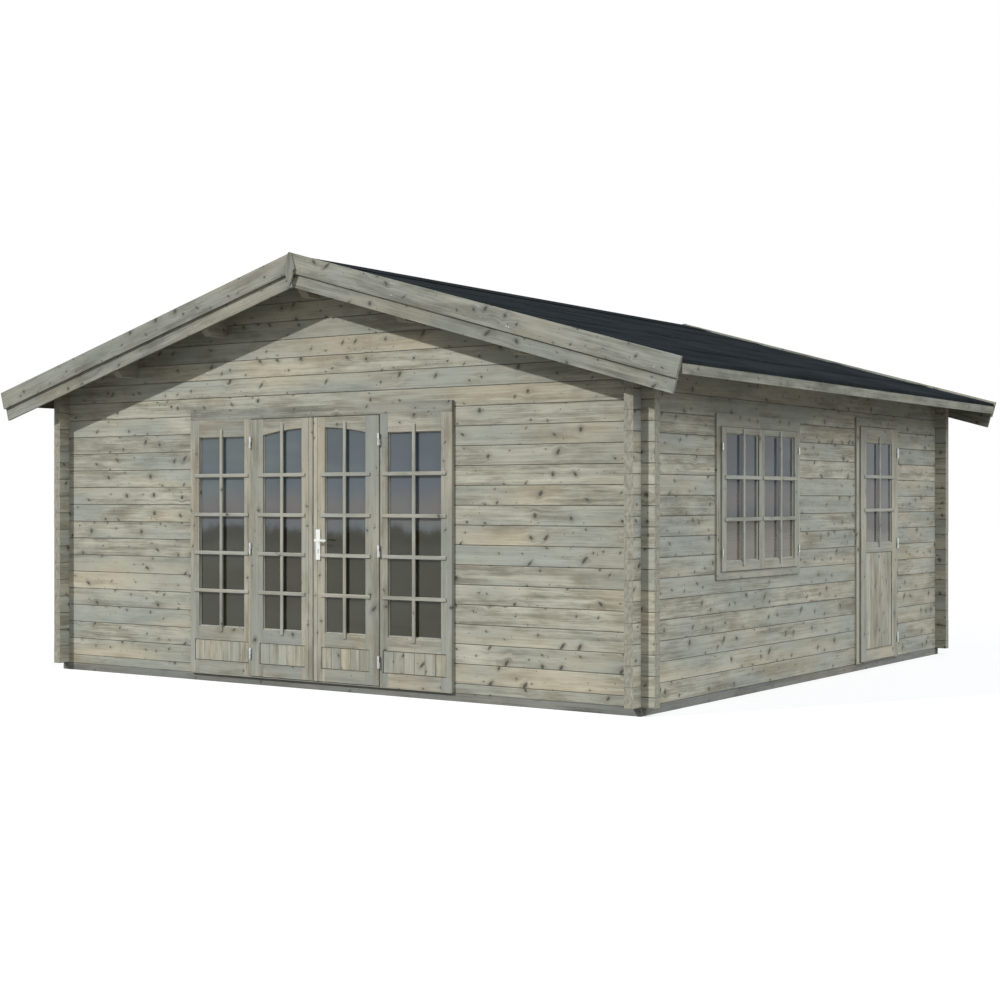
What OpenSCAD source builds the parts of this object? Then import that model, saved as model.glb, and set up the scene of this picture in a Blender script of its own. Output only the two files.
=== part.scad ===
// Log cabin with cross-notched corners, a felted gable roof, double front doors
// between fixed sidelights, a two-sash side window and a half-glazed side door.
// The origin is on the ground at the centre of the plan. The door gable faces -Y.

/* [Walls] */
// Width over the outer wall faces, along the gables
wall_w = 5530; // [4500:10:6600]
// Depth over the outer wall faces, along the eaves
wall_d = 5450; // [4500:10:6600]
// Height of the side walls above the bearers, rounded to whole logs
wall_h = 2346; // [2300:10:2700]
// Thickness of a wall log
log_t = 70; // [60:1:85]
// Height of one log course
log_pitch = 138; // [115:1:166]
// Size of the bevel along each log edge
log_bevel = 4; // [1:0.5:8]
// Length of a log end past the outer wall face
log_end = 100; // [60:5:160]
// Height of the bearers under the walls
bearer_h = 57; // [45:1:70]

/* [Floor] */
// Thickness of the floor boards
floor_t = 19; // [16:1:28]
// Width of a floor joist
joist_w = 45; // [35:1:60]
// Number of floor joists
joist_count = 11; // [7:1:14]
// Gap between the floor boards and the walls
floor_gap = 5; // [3:1:15]

/* [Roof] */
// Rise of the roof for each unit of run
roof_rise = 0.2828; // [0.24:0.01:0.36]
// Thickness of the roof boards
roof_board_t = 19; // [16:1:25]
// Thickness of the roofing felt
felt_t = 3; // [2:0.5:6]
// How far the felt reaches past the fascia
felt_drip = 5; // [2:1:12]
// Overhang of the eaves past the side walls, to the fascia's face
eave_overhang = 435; // [300:10:600]
// Overhang of the gables past the end walls, to the barge boards' face
gable_overhang = 285; // [200:10:400]
// Height of the eaves fascia
fascia_h = 88; // [60:2:130]
// Thickness of barge boards, fascias and finials
trim_t = 20; // [15:1:28]
// Width of the upper barge board
barge_upper_w = 140; // [100:5:180]
// Depth of both barge boards together
barge_depth = 240; // [200:5:300]
// Height of the barge boards' top edge above the felt
barge_lift = 18; // [0:1:30]
// How far the upper barge board's end stands past the fascia
barge_end = 13; // [5:1:60]
// How much shorter the lower barge board is at its end
barge_step = 6; // [0:1:50]
// Width of a ridge finial at its top
finial_top_w = 18; // [10:1:80]
// Width of a ridge finial at its shoulders
finial_w = 102; // [80:1:160]
// Thickness of a ridge finial
finial_t = 16; // [6:1:25]
// Distance from a finial's top to its shoulders
finial_shoulder = 122; // [100:1:190]
// Height of a ridge finial
finial_h = 250; // [200:5:320]

/* [Purlins] */
// Thickness of a purlin
purlin_t = 70; // [50:1:90]
// Distance from the ridge to the near face of each side purlin
purlin_x = [904, 1876]; // [400:1:2600]
// Height of the ridge purlin
ridge_purlin_h = 268; // [200:1:300]
// Height of a side purlin at its tall face
side_purlin_h = 250; // [180:1:280]
// Length of the bevel under a side purlin's end
purlin_bevel = 75; // [30:5:100]
// Length of the bevel under the ridge purlin's end
ridge_bevel = 130; // [5:5:150]

/* [Doors and window] */
// How far the front door set stands proud of the wall
set_proud = 27; // [15:1:40]
// How far a front leaf stands proud of the sidelights
leaf_proud = 7; // [2:1:15]
// How far the side door's and window's casings stand proud of the wall
side_proud = 16; // [8:1:30]
// How far the side leaf and the window sashes stand proud of their casings
side_leaf_proud = 13; // [2:1:15]
// Thickness of a door leaf
leaf_t = 36; // [30:1:37]
// Thickness of a casing, sidelight or window sash
casing_t = 42; // [34:1:50]
// Running gap round a door leaf
leaf_clear = 7; // [6:0.5:9]
// Gap above and below a door leaf
leaf_gap_z = 5.5; // [5:0.5:8]
// Thickness of a glass pane
glass_t = 4; // [3:1:6]
// How far a pane reaches into its frame
glass_bite = 10; // [6:1:14]
// Depth of the panel recess that takes the lower boards
panel_recess = 12; // [8:1:16]
// Depth of a door stop behind the leaf
stop_h = 27; // [20:1:40]
// Thickness of the threshold plate
sill_t = 7; // [5:1:12]

/* [Front door set] */
// Width of the whole door set
set_w = 2530; // [2300:10:3000]
// Height of the top of the door set above the ground
set_top = 2105; // [1950:5:2250]
// Height of the head board
set_head = 82; // [60:1:120]
// Width of one door leaf
leaf_w = 615; // [510:5:740]
// Gap between the two leaves
meeting_gap = 10; // [8:1:14]
// Width of the meeting stile of a leaf
meeting_stile = 108; // [90:1:130]
// Width of the hinge stile of a leaf
hinge_stile = 123; // [100:1:140]
// Width of a sidelight's stile next to the doors
sidelight_stile = 70; // [50:1:90]
// Width of a sidelight's outer stile
sidelight_outer = 93; // [70:1:110]
// Height of the glass bottoms above the ground
set_glass_low = 427; // [350:1:900]
// Height of a sidelight's top rail, below the head board
sidelight_rail = 131; // [90:1:200]
// Height of a leaf's top rail over the crown of its arch
leaf_rail = 72.5; // [50:0.5:150]
// Rise of the arch over both doors
arch_rise = 47; // [20:1:80]
// Bottom and top of the boarded panels above the ground
set_panel_z = [162, 325]; // [120:1:340]
// Panel edges of a leaf, measured from its meeting edge and its hinge edge
leaf_panel_in = [75, 87]; // [60:1:110]
// Panel edges of a sidelight, measured from its two edges
sidelight_panel_in = [24, 47]; // [15:1:80]
// Width of the fine groove down a leaf's meeting stile
groove_w = 3; // [2:0.5:4]
// Distance from the middle of the doors to the near side of the groove
groove_x = 42; // [30:1:60]
// Width of a jamb behind a sidelight's outer edge
jamb_w = 50; // [40:1:80]
// Width of a post behind the joint of a leaf and a sidelight
post_w = 100; // [70:1:120]

/* [Side door] */
// Distance from the rear wall face to the door's casing
side_door_from_rear = 1020; // [500:1:1250]
// Width over the side door's casing
side_door_w = 910; // [800:1:1000]
// Height of the top of the side door's casing
side_door_top = 2083; // [1950:1:2150]
// Height of the side door's head casing
side_door_head = 66; // [60:1:120]
// Width of the side door's upright casing
side_casing_w = 58; // [18:1:90]
// Width of the side door's stiles
side_stile = 110; // [80:1:150]
// Height of the side door's glass bottom above the ground
side_glass_low = 1045; // [950:1:1300]
// Height of the side door's top rail
side_door_rail = 126.5; // [80:0.5:180]
// Bottom and top of the side door's boarded panel
side_panel_z = [163, 970]; // [120:1:1000]

/* [Side window] */
// Distance from the front wall face to the window's casing
window_from_front = 1035; // [600:1:1300]
// Width over the window's casing
window_w = 1380; // [1100:1:1500]
// Bottom and top of the window's casing
window_z = [845, 2015]; // [700:1:2100]
// Width of the window's upright casing
window_casing_w = 54; // [16:1:70]
// Height of the window's sill casing
window_sill_h = 55; // [40:1:80]
// Height of the window's head casing
window_head_h = 90; // [60:1:120]
// Width of a sash's outer stile
sash_outer = 67; // [55:1:90]
// Width of a sash's meeting stile
sash_meeting = 45; // [40:1:70]
// Height of a sash's bottom rail and top rail
sash_rails = [70, 45]; // [40:1:100]
// Gap round the sashes
sash_gap = 3; // [2:0.5:5]
// Width of the stop behind the sashes
window_stop = 15; // [10:1:30]

/* [Door furniture] */
// Radius of a hinge barrel
hinge_r = 8; // [6:0.5:9]
// Length of a door hinge barrel
hinge_len = 87; // [60:1:110]
// Gap between a leaf's face and its hinge barrels
hinge_off = 1; // [0.5:0.5:2]
// Radius of a hinge pin
hinge_pin_r = 4; // [3:0.5:5]
// Heights of the front hinges' middles above the ground
front_hinge_z = [240, 1037, 1843]; // [160:1:1900]
// Heights of the side door hinges' middles above the ground
side_hinge_z = [230, 1037, 1810]; // [160:1:1900]
// Heights of the window hinges' middles above the ground
window_hinge_z = [1035, 1780]; // [950:1:1900]
// Length of a window hinge barrel
window_hinge_len = 52; // [40:1:80]
// Radius of a window hinge barrel
window_hinge_r = 6; // [4:0.5:8]
// Width and height of the handle's long plate
plate_size = [42, 224]; // [25:1:260]
// Corner radius of the handle's long plate
plate_corner = 6; // [1:1:12]
// Thickness of the handle's long plate
plate_t = 8; // [5:1:12]
// Height of the middle of the long plate
plate_z = 1077; // [1000:1:1150]
// Distance from the leaf's meeting edge to the lever's axis
lever_x = 49; // [35:1:60]
// Height of the lever's axis above the ground
lever_z = 1109; // [1050:1:1140]
// Radius of the lever's neck
lever_neck_r = 9; // [6:0.5:11]
// Length of the lever's neck in front of the plate
lever_neck = 36; // [25:1:50]
// Length of the lever's grip past its axis
lever_len = 98; // [80:1:140]
// Height and thickness of the lever's grip
grip_size = [14, 11]; // [8:1:24]

/* [Hidden] */
// Gap at which pieces that rest on each other are seated
seat = 0.4;
// Radial clearance of a pin in its hole
pin_fit = 0.05;
// Extra length that cuts reach past a face
cut = 5;
// How far a hinge pin is fixed into its lower barrel
pin_root = 5;
half_w = wall_w / 2;
half_d = wall_d / 2;
inner_w = half_w - log_t;
inner_d = half_d - log_t;
side_courses = round(wall_h / log_pitch);
wall_top = bearer_h + side_courses * log_pitch;
neck = log_pitch / 4;
gable_base = bearer_h + log_pitch / 2;
pitch_angle = atan(roof_rise);
ridge_under = wall_top + seat + roof_rise * inner_w;
boards_rise = roof_board_t / cos(pitch_angle);
felt_rise = felt_t / cos(pitch_angle);
ridge_felt = ridge_under + boards_rise + felt_rise;
gable_courses = ceil((ridge_under - gable_base) / log_pitch);
eave_x = half_w + eave_overhang;
roof_end = half_d + gable_overhang - 2 * trim_t - seat;
barge_ridge = ridge_felt + barge_lift;
barge_x = eave_x + barge_end;

set_half = set_w / 2;
set_courses = floor((set_top - gable_base) / log_pitch);
door_low = bearer_h + seat + sill_t + leaf_gap_z;
leaf_top = set_top - set_head - leaf_gap_z;
leaf_x0 = meeting_gap / 2;
leaf_x1 = leaf_x0 + leaf_w;
sidelight_x0 = leaf_x1 + leaf_clear;
leaf_face = -set_proud - leaf_proud;
set_stop_face = casing_t - set_proud + seat;
leaf_glass = [leaf_x0 + meeting_stile, leaf_x1 - hinge_stile];
arch_top = leaf_top - leaf_rail;
sidelight_glass_top = set_top - set_head - sidelight_rail;
sidelight_glass_x = [sidelight_x0 + sidelight_stile, set_half - sidelight_outer];
arch_r = (pow(leaf_glass[1], 2) + pow(arch_rise, 2)) / (2 * arch_rise);

side_door_x1 = half_d - side_door_from_rear;
side_door_x0 = side_door_x1 - side_door_w;
side_leaf_x0 = side_door_x0 + side_casing_w + leaf_clear;
side_leaf_x1 = side_door_x1 - side_casing_w - leaf_clear;
side_leaf_face = -side_proud - side_leaf_proud;
side_stop_face = side_leaf_face + casing_t + seat;
side_leaf_top = side_door_top - side_door_head - leaf_gap_z;
side_courses_door = floor((side_door_top - bearer_h) / log_pitch);
side_light_x = [side_leaf_x0 + side_stile, side_leaf_x1 - side_stile];
side_glass_z = [side_glass_low, side_leaf_top - side_door_rail];

window_x0 = window_from_front - half_d;
window_x1 = window_x0 + window_w;
window_mid = (window_x0 + window_x1) / 2;
sash_x0 = window_x0 + window_casing_w + sash_gap;
sash_x1 = window_x1 - window_casing_w - sash_gap;
sash_z0 = window_z[0] + window_sill_h + sash_gap;
sash_z1 = window_z[1] - window_head_h - sash_gap;
sash_light_z = [sash_z0 + sash_rails[0] - sash_gap, sash_z1 - sash_rails[1] + sash_gap];
left_sash_x = [sash_x0, window_mid - sash_gap / 2];
right_sash_x = [window_mid + sash_gap / 2, sash_x1];
left_sash_light = [left_sash_x[0] + sash_outer, left_sash_x[1] - sash_meeting];
right_sash_light = [right_sash_x[0] + sash_meeting, right_sash_x[1] - sash_outer];

front_hinge_x = leaf_x1 + leaf_clear / 2;
side_hinge_x = side_leaf_x1 + leaf_clear / 2;

wood = [0.63, 0.62, 0.56];
trim_wood = [0.56, 0.58, 0.55];
felt_black = [0.16, 0.17, 0.19];
glass_blue = [0.35, 0.40, 0.45, 0.5];
zinc = [0.85, 0.86, 0.86];

// ---- shared shapes ----

function roof_under(x) = ridge_under - roof_rise * abs(x);

// A box given by its limits on each axis.
module block(x, y, z) {
    translate([x[0], y[0], z[0]]) cube([x[1] - x[0], y[1] - y[0], z[1] - z[0]]);
}

// An outline drawn in X and Z, carried from y[0] to y[1].
module along_y(y) {
    translate([0, y[1], 0]) rotate([90, 0, 0]) linear_extrude(y[1] - y[0]) children();
}

// Wall frames: x runs to the right seen from outside, y is 0 at the outer face
// and grows inwards.
module on_front() {
    translate([0, -half_d, 0]) children();
}

module on_right() {
    translate([half_w, 0, 0]) rotate([0, 0, 90]) children();
}

module both_sides() {
    children();
    mirror([1, 0, 0]) children();
}

module both_gables() {
    children();
    mirror([0, 1, 0]) children();
}

// The bevelled section of a log, in Y and Z.
module log_outline(h) {
    t = log_t / 2;
    c = log_bevel;
    a = seat / 2;
    b = h - seat / 2;
    polygon([[-t, a + c], [c - t, a], [t - c, a], [t, a + c],
        [t, b - c], [t - c, b], [c - t, b], [-t, b - c]]);
}

// A log along X with its bottom at z0. It is notched at both ends where the logs
// of the crossing walls, reach apart, pass through it.
module notched_log(z0, h, reach, low_notch = true) {
    length = 2 * (reach + log_end);
    difference() {
        translate([-length / 2, 0, z0]) rotate([90, 0, 90])
            linear_extrude(length) log_outline(h);
        both_sides() {
            zone = [reach - log_t - seat, reach + seat];
            deep = [-log_t / 2 - cut, log_t / 2 + cut];
            if (low_notch) block(zone, deep, [z0 - cut, z0 + neck + seat / 2]);
            block(zone, deep, [z0 + h - neck - seat / 2, z0 + h + cut]);
        }
    }
}

// The half log that starts a gable wall, with a flat underside.
module gable_log(n) {
    z0 = n == 0 ? bearer_h : gable_base + (n - 1) * log_pitch;
    h = n == 0 ? log_pitch / 2 : log_pitch;
    translate([0, -half_d + log_t / 2, 0]) notched_log(z0, h, half_w, n > 0);
}

module gable_logs(from, to) {
    for (n = [from:to]) gable_log(n);
}

// The space under the roof boards.
module under_roof() {
    wide = half_w + log_end + cut;
    deep = half_d + log_end + cut;
    along_y([-deep, deep])
        polygon([[-wide, 0], [wide, 0], [wide, roof_under(wide) - seat],
            [0, ridge_under - seat], [-wide, roof_under(wide) - seat]]);
}

module side_purlin_outline(x, extra) {
    low = roof_under(x) - side_purlin_h;
    polygon([[x - extra, low - extra], [x + purlin_t + extra, low - extra],
        [x + purlin_t + extra, roof_under(x + purlin_t) - seat + cut * sign(extra)],
        [x - extra, roof_under(x) - seat + cut * sign(extra)]]);
}

module ridge_purlin_outline(extra) {
    half = purlin_t / 2 + extra;
    low = ridge_under - ridge_purlin_h - extra;
    top = -seat + cut * sign(extra);
    polygon([[-half, low], [half, low], [half, roof_under(half) + top],
        [0, ridge_under + top], [-half, roof_under(half) + top]]);
}

// Room in the gables for the purlins that pass through them.
module purlin_slots() {
    along_y([-half_d - cut, half_d + cut]) {
        ridge_purlin_outline(seat);
        both_sides() for (x = purlin_x) side_purlin_outline(x, seat);
    }
}

module gable_top(from) {
    difference() {
        intersection() {
            gable_logs(from, gable_courses);
            under_roof();
        }
        purlin_slots();
    }
}

// A log of a side wall, on the +X side.
module side_log(i) {
    translate([half_w - log_t / 2, 0, 0]) rotate([0, 0, 90])
        notched_log(bearer_h + i * log_pitch, log_pitch, half_d);
}

// Whole openings for the side door and the window, cut out of the side logs.
module side_openings() {
    deep = [-cut, log_t + cut];
    on_right() {
        block([side_door_x0 - seat, side_door_x1 + seat], deep, [0, side_door_top + seat]);
        block([window_x0 - seat, window_x1 + seat], deep,
            [window_z[0] - seat, window_z[1] + seat]);
    }
}

// ---- floor and walls ----

module foundation_frame() {
    color(trim_wood) {
        both_gables() block([-half_w, half_w], [-half_d, -inner_d], [0, bearer_h]);
        both_sides() block([inner_w, half_w], [-inner_d + seat, inner_d - seat], [0, bearer_h]);
    }
}

module floor_joists() {
    side = inner_w - seat - joist_w / 2;
    step = 2 * side / (joist_count - 1);
    color(trim_wood) for (k = [0:joist_count - 1])
        translate([k * step - side, 0, 0])
            block([-joist_w / 2, joist_w / 2], [seat - inner_d, inner_d - seat], [0, bearer_h]);
}

module floor_boards() {
    x = inner_w - floor_gap;
    y = inner_d - floor_gap;
    color(wood) block([-x, x], [-y, y], [bearer_h + seat, bearer_h + seat + floor_t]);
}

module front_wall_side(x) {
    color(wood) intersection() {
        gable_logs(0, set_courses);
        block(x, [-wall_d, 0], [0, wall_top]);
    }
}

module front_wall_left() {
    front_wall_side([-wall_w, -set_half - seat]);
}

module front_wall_right() {
    front_wall_side([set_half + seat, wall_w]);
}

module front_gable() {
    color(wood) difference() {
        gable_top(set_courses + 1);
        block([-set_half - seat, set_half + seat], [-wall_d, 0], [0, set_top + seat]);
    }
}

module rear_wall() {
    color(wood) mirror([0, 1, 0]) gable_logs(0, set_courses);
}

module rear_gable() {
    color(wood) mirror([0, 1, 0]) gable_top(set_courses + 1);
}

module left_wall() {
    color(wood) mirror([1, 0, 0]) intersection() {
        for (i = [0:side_courses - 1]) side_log(i);
        under_roof();
    }
}

module right_wall_front() {
    color(wood) difference() {
        intersection() {
            for (i = [0:side_courses_door - 1]) side_log(i);
            block([0, wall_w], [-wall_d, side_door_x0 - seat], [0, wall_top]);
        }
        side_openings();
    }
}

module right_wall_rear() {
    color(wood) intersection() {
        for (i = [0:side_courses_door - 1]) side_log(i);
        block([0, wall_w], [side_door_x1 + seat, wall_d], [0, wall_top]);
    }
}

module right_wall_top() {
    color(wood) difference() {
        intersection() {
            for (i = [side_courses_door:side_courses - 1]) side_log(i);
            under_roof();
        }
        side_openings();
    }
}

// ---- roof ----

// Carries a purlin outline from gable to gable and bevels the lower end corners.
module purlin(low, bevel) {
    end = roof_end;
    difference() {
        along_y([-end, end]) children();
        both_gables() rotate([90, 0, 90]) translate([0, 0, -half_w]) linear_extrude(wall_w)
            polygon([[-end - cut, low - cut], [-end + bevel + cut, low - cut],
                [-end - cut, low + bevel + cut]]);
    }
}

module ridge_purlin() {
    color(trim_wood) purlin(ridge_under - ridge_purlin_h, ridge_bevel)
        ridge_purlin_outline(0);
}

module side_purlins_right() {
    color(trim_wood) for (x = purlin_x)
        purlin(roof_under(x) - side_purlin_h, purlin_bevel) side_purlin_outline(x, 0);
}

module side_purlins_left() {
    mirror([1, 0, 0]) side_purlins_right();
}

// A sloping layer of the roof, from low to high above the boards' underside.
module roof_layer(low, high, x1) {
    along_y([-roof_end, roof_end])
        polygon([[seat / 2, roof_under(seat / 2) + low], [x1, roof_under(x1) + low],
            [x1, roof_under(x1) + high], [seat / 2, roof_under(seat / 2) + high]]);
}

module roof_boards_right() {
    color(wood) roof_layer(0, boards_rise, eave_x - trim_t - seat);
}

module roof_boards_left() {
    mirror([1, 0, 0]) roof_boards_right();
}

module roof_felt_right() {
    color(felt_black) roof_layer(boards_rise + seat, boards_rise + felt_rise, eave_x + felt_drip);
}

module roof_felt_left() {
    mirror([1, 0, 0]) roof_felt_right();
}

// A board along the right-hand roof slope between depths d0 and d1 below the
// barge top, with a plumb cut at the ridge and a square cut at end_x.
module slope_board(d0, d1, end_x, y) {
    g = seat / 2;
    c = cos(pitch_angle);
    s = sin(pitch_angle);
    top = barge_ridge - roof_rise * end_x;
    ridge_top = barge_ridge - roof_rise * g;
    along_y(y) polygon([[g, ridge_top - d0 / c], [end_x - d0 * s, top - d0 * c],
        [end_x - d1 * s, top - d1 * c], [g, ridge_top - d1 / c]]);
}

module front_barge_right() {
    face = -half_d - gable_overhang;
    upper = [face, face + trim_t];
    lower = [face + trim_t + seat, face + 2 * trim_t];
    color(trim_wood) {
        slope_board(0, barge_upper_w, barge_x, upper);
        slope_board(2 * trim_t, barge_depth, barge_x - barge_step, lower);
    }
}

module front_barge_left() {
    mirror([1, 0, 0]) front_barge_right();
}

module rear_barge_right() {
    mirror([0, 1, 0]) front_barge_right();
}

module rear_barge_left() {
    mirror([0, 1, 0]) front_barge_left();
}

// Shield-shaped plates that cover the barge boards' joint at each end of the ridge.
module ridge_finials() {
    face = -half_d - gable_overhang - seat;
    top = barge_ridge;
    color(trim_wood) both_gables() along_y([face - finial_t, face])
        polygon([[-finial_top_w / 2, top], [-finial_w / 2, top - finial_shoulder],
            [0, top - finial_h], [finial_w / 2, top - finial_shoulder],
            [finial_top_w / 2, top]]);
}

module eave_fascias() {
    top = roof_under(eave_x) + boards_rise - seat / 2;
    color(trim_wood) both_sides()
        block([eave_x - trim_t, eave_x], [-roof_end, roof_end], [top - fascia_h, top]);
}

// ---- glazed pieces ----

// A glass opening between x and z limits. With a rise its top is an arc about x = 0
// whose crown is at z[1].
module light(x, y, z, grow, r) {
    gx = [x[0] - grow, x[1] + grow];
    gz = [z[0] - grow, z[1] + grow];
    if (r > 0) {
        intersection() {
            block(gx, y, gz);
            translate([0, y[1], z[1] - r]) rotate([90, 0, 0])
                cylinder(r = r + grow, h = y[1] - y[0], $fn = 360);
        }
    } else {
        block(gx, y, gz);
    }
}

function pane_y(face, t) = [face + (t - glass_t) / 2, face + (t + glass_t) / 2];

// A framed panel with a glass opening and the slot that holds its pane.
module glazed_panel(x, z, face, t, glass_x, glass_z, r = 0) {
    y = pane_y(face, t);
    difference() {
        block(x, [face, face + t], z);
        light(glass_x, [face - cut, face + t + cut], glass_z, 0, r);
        light(glass_x, [y[0] - seat, y[1] + seat], glass_z, glass_bite + seat, r);
    }
}

module pane(face, t, glass_x, glass_z, r = 0) {
    light(glass_x, pane_y(face, t), glass_z, glass_bite, r);
}

// ---- front door set ----

module door_frame() {
    back = [set_stop_face, log_t];
    front = [-set_proud, back[0] - seat];
    head_low = leaf_top - stop_h;
    sill_top = bearer_h + seat + sill_t;
    strip_top = door_low + stop_h;
    post_x = (leaf_x1 + sidelight_x0) / 2;
    color(trim_wood) on_front() {
        both_sides() {
            block([set_half - jamb_w, set_half], back, [bearer_h + seat, head_low - seat]);
            block([post_x - post_w / 2, post_x + post_w / 2], back,
                [strip_top + seat, head_low - seat]);
        }
        block([-set_half, set_half], back, [head_low, set_top]);
        block([jamb_w + seat - set_half, set_half - jamb_w - seat], back,
            [bearer_h + seat, strip_top]);
        block([-set_half, set_half], front, [set_top - set_head, set_top]);
        block([-set_half, set_half], front, [bearer_h + seat, sill_top]);
    }
}

module sidelights() {
    z = [bearer_h + 2 * seat + sill_t, set_top - set_head - seat];
    panel_x = [sidelight_x0 + sidelight_panel_in[0], set_half - sidelight_panel_in[1]];
    color(wood) on_front() both_sides() difference() {
        glazed_panel([sidelight_x0, set_half], z, -set_proud, casing_t,
            sidelight_glass_x, [set_glass_low, sidelight_glass_top]);
        block(panel_x, [-set_proud - cut, panel_recess - set_proud], set_panel_z);
    }
}

module sidelight_glass() {
    color(glass_blue) on_front() both_sides()
        pane(-set_proud, casing_t, sidelight_glass_x, [set_glass_low, sidelight_glass_top]);
}

// The right-hand leaf, with a fine groove down its meeting stile.
module leaf() {
    panel_x = [leaf_x0 + leaf_panel_in[0], leaf_x1 - leaf_panel_in[1]];
    on_front() difference() {
        glazed_panel([leaf_x0, leaf_x1], [door_low, leaf_top], leaf_face, leaf_t,
            leaf_glass, [set_glass_low, arch_top], arch_r);
        block(panel_x, [leaf_face - cut, leaf_face + panel_recess], set_panel_z);
        block([groove_x, groove_x + groove_w], [leaf_face - cut, leaf_face + groove_w],
            [door_low - cut, leaf_top + cut]);
    }
}

module leaf_pane() {
    on_front() pane(leaf_face, leaf_t, leaf_glass, [set_glass_low, arch_top], arch_r);
}

module left_door() {
    color(wood) mirror([1, 0, 0]) leaf();
}

module right_door() {
    color(wood) leaf();
}

module left_door_glass() {
    color(glass_blue) mirror([1, 0, 0]) leaf_pane();
}

module right_door_glass() {
    color(glass_blue) leaf_pane();
}

// ---- side door ----

module side_door_frame() {
    back = [side_stop_face, log_t];
    full = [-side_proud, log_t];
    head_low = side_leaf_top - stop_h;
    sill_top = bearer_h + seat + sill_t;
    strip_top = door_low + stop_h;
    left = side_door_x0;
    right = side_door_x1;
    upright_z = [sill_top + seat, side_door_top - side_door_head - seat];
    inner = [left + side_casing_w + seat, right - side_casing_w - seat];
    color(trim_wood) on_right() {
        block([left, left + side_casing_w], full, upright_z);
        block([right - side_casing_w, right], full, upright_z);
        block([inner[0], inner[0] + stop_h], back, [strip_top + seat, head_low - seat]);
        block([inner[1] - stop_h, inner[1]], back, [strip_top + seat, head_low - seat]);
        block(inner, back, [head_low, upright_z[1]]);
        block(inner, back, [sill_top + seat, strip_top]);
        block([left, right], full, [side_door_top - side_door_head, side_door_top]);
        block([left, right], full, [bearer_h + seat, sill_top]);
    }
}

module side_door() {
    color(wood) on_right() difference() {
        glazed_panel([side_leaf_x0, side_leaf_x1], [door_low, side_leaf_top],
            side_leaf_face, leaf_t, side_light_x, side_glass_z);
        block(side_light_x, [side_leaf_face - cut, side_leaf_face + panel_recess],
            side_panel_z);
    }
}

module side_door_glass() {
    color(glass_blue) on_right() pane(side_leaf_face, leaf_t, side_light_x, side_glass_z);
}

// ---- side window ----

// The window's opening through a depth y, narrowed all round by grow.
module window_hole(y, grow) {
    side = window_casing_w + grow;
    block([window_x0 + side, window_x1 - side], y,
        [window_z[0] + window_sill_h + grow, window_z[1] - window_head_h - grow]);
}

module window_frame() {
    color(trim_wood) on_right() difference() {
        block([window_x0, window_x1], [-side_proud, log_t], window_z);
        window_hole([-side_proud - cut, side_stop_face], 0);
        window_hole([-side_proud - cut, log_t + cut], window_stop);
    }
}

module window_sashes() {
    color(wood) on_right() {
        glazed_panel(left_sash_x, [sash_z0, sash_z1], side_leaf_face, casing_t,
            left_sash_light, sash_light_z);
        glazed_panel(right_sash_x, [sash_z0, sash_z1], side_leaf_face, casing_t,
            right_sash_light, sash_light_z);
    }
}

module window_glass() {
    color(glass_blue) on_right() {
        pane(side_leaf_face, casing_t, left_sash_light, sash_light_z);
        pane(side_leaf_face, casing_t, right_sash_light, sash_light_z);
    }
}

// ---- hinges and handle ----

// The lower half of a lift-off hinge, with its pin and the arm that screws to the
// casing on its +x side.
module hinge_lower(x, z, face, proud) {
    half = hinge_len / 2;
    arm_x = x + leaf_clear / 2;
    y = face - hinge_off - hinge_r;
    translate([x, y, z]) {
        translate([0, 0, -half]) cylinder(r = hinge_r, h = half - seat / 2, $fn = 32);
        translate([0, 0, -pin_root]) cylinder(r = hinge_pin_r, h = half, $fn = 32);
    }
    block([arm_x, arm_x + hinge_r], [y, -proud - seat],
        [z - half, z - seat / 2]);
}

// The upper half, bored for the pin, with the arm that screws to the leaf.
module hinge_upper(x, z, face) {
    half = hinge_len / 2;
    arm_x = x - leaf_clear / 2;
    y = face - hinge_off - hinge_r;
    difference() {
        union() {
            translate([x, y, z + seat / 2])
                cylinder(r = hinge_r, h = half - seat / 2, $fn = 32);
            block([arm_x - hinge_r, arm_x], [y, face - seat],
                [z + seat / 2, z + half]);
        }
        translate([x, y, z - cut])
            cylinder(r = hinge_pin_r + pin_fit, h = half + seat, $fn = 32);
    }
}

module frame_hinges() {
    color(zinc) {
        on_front() both_sides() for (z = front_hinge_z)
            hinge_lower(front_hinge_x, z, leaf_face, set_proud);
        on_right() for (z = side_hinge_z)
            hinge_lower(side_hinge_x, z, side_leaf_face, side_proud);
    }
}

module right_door_hinges() {
    color(zinc) on_front() for (z = front_hinge_z)
        hinge_upper(front_hinge_x, z, leaf_face);
}

module left_door_hinges() {
    mirror([1, 0, 0]) right_door_hinges();
}

module side_door_hinges() {
    color(zinc) on_right() for (z = side_hinge_z)
        hinge_upper(side_hinge_x, z, side_leaf_face);
}

module window_hinges() {
    y = side_leaf_face - seat - window_hinge_r;
    color(zinc) on_right() for (x = [sash_x0 - sash_gap / 2, sash_x1 + sash_gap / 2])
        for (z = window_hinge_z)
            translate([x, y, z - window_hinge_len / 2])
                cylinder(r = window_hinge_r, h = window_hinge_len, $fn = 32);
}

// An upright plate outline with rounded corners, in X and Z.
module plate_outline() {
    offset(r = plate_corner, $fn = 32)
        square([plate_size[0] - 2 * plate_corner, plate_size[1] - 2 * plate_corner],
            center = true);
}

// A bar outline along X with round ends.
module round_bar(length, h) {
    hull() for (x = [0, length]) translate([x, 0]) circle(r = h / 2, $fn = 48);
}

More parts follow.
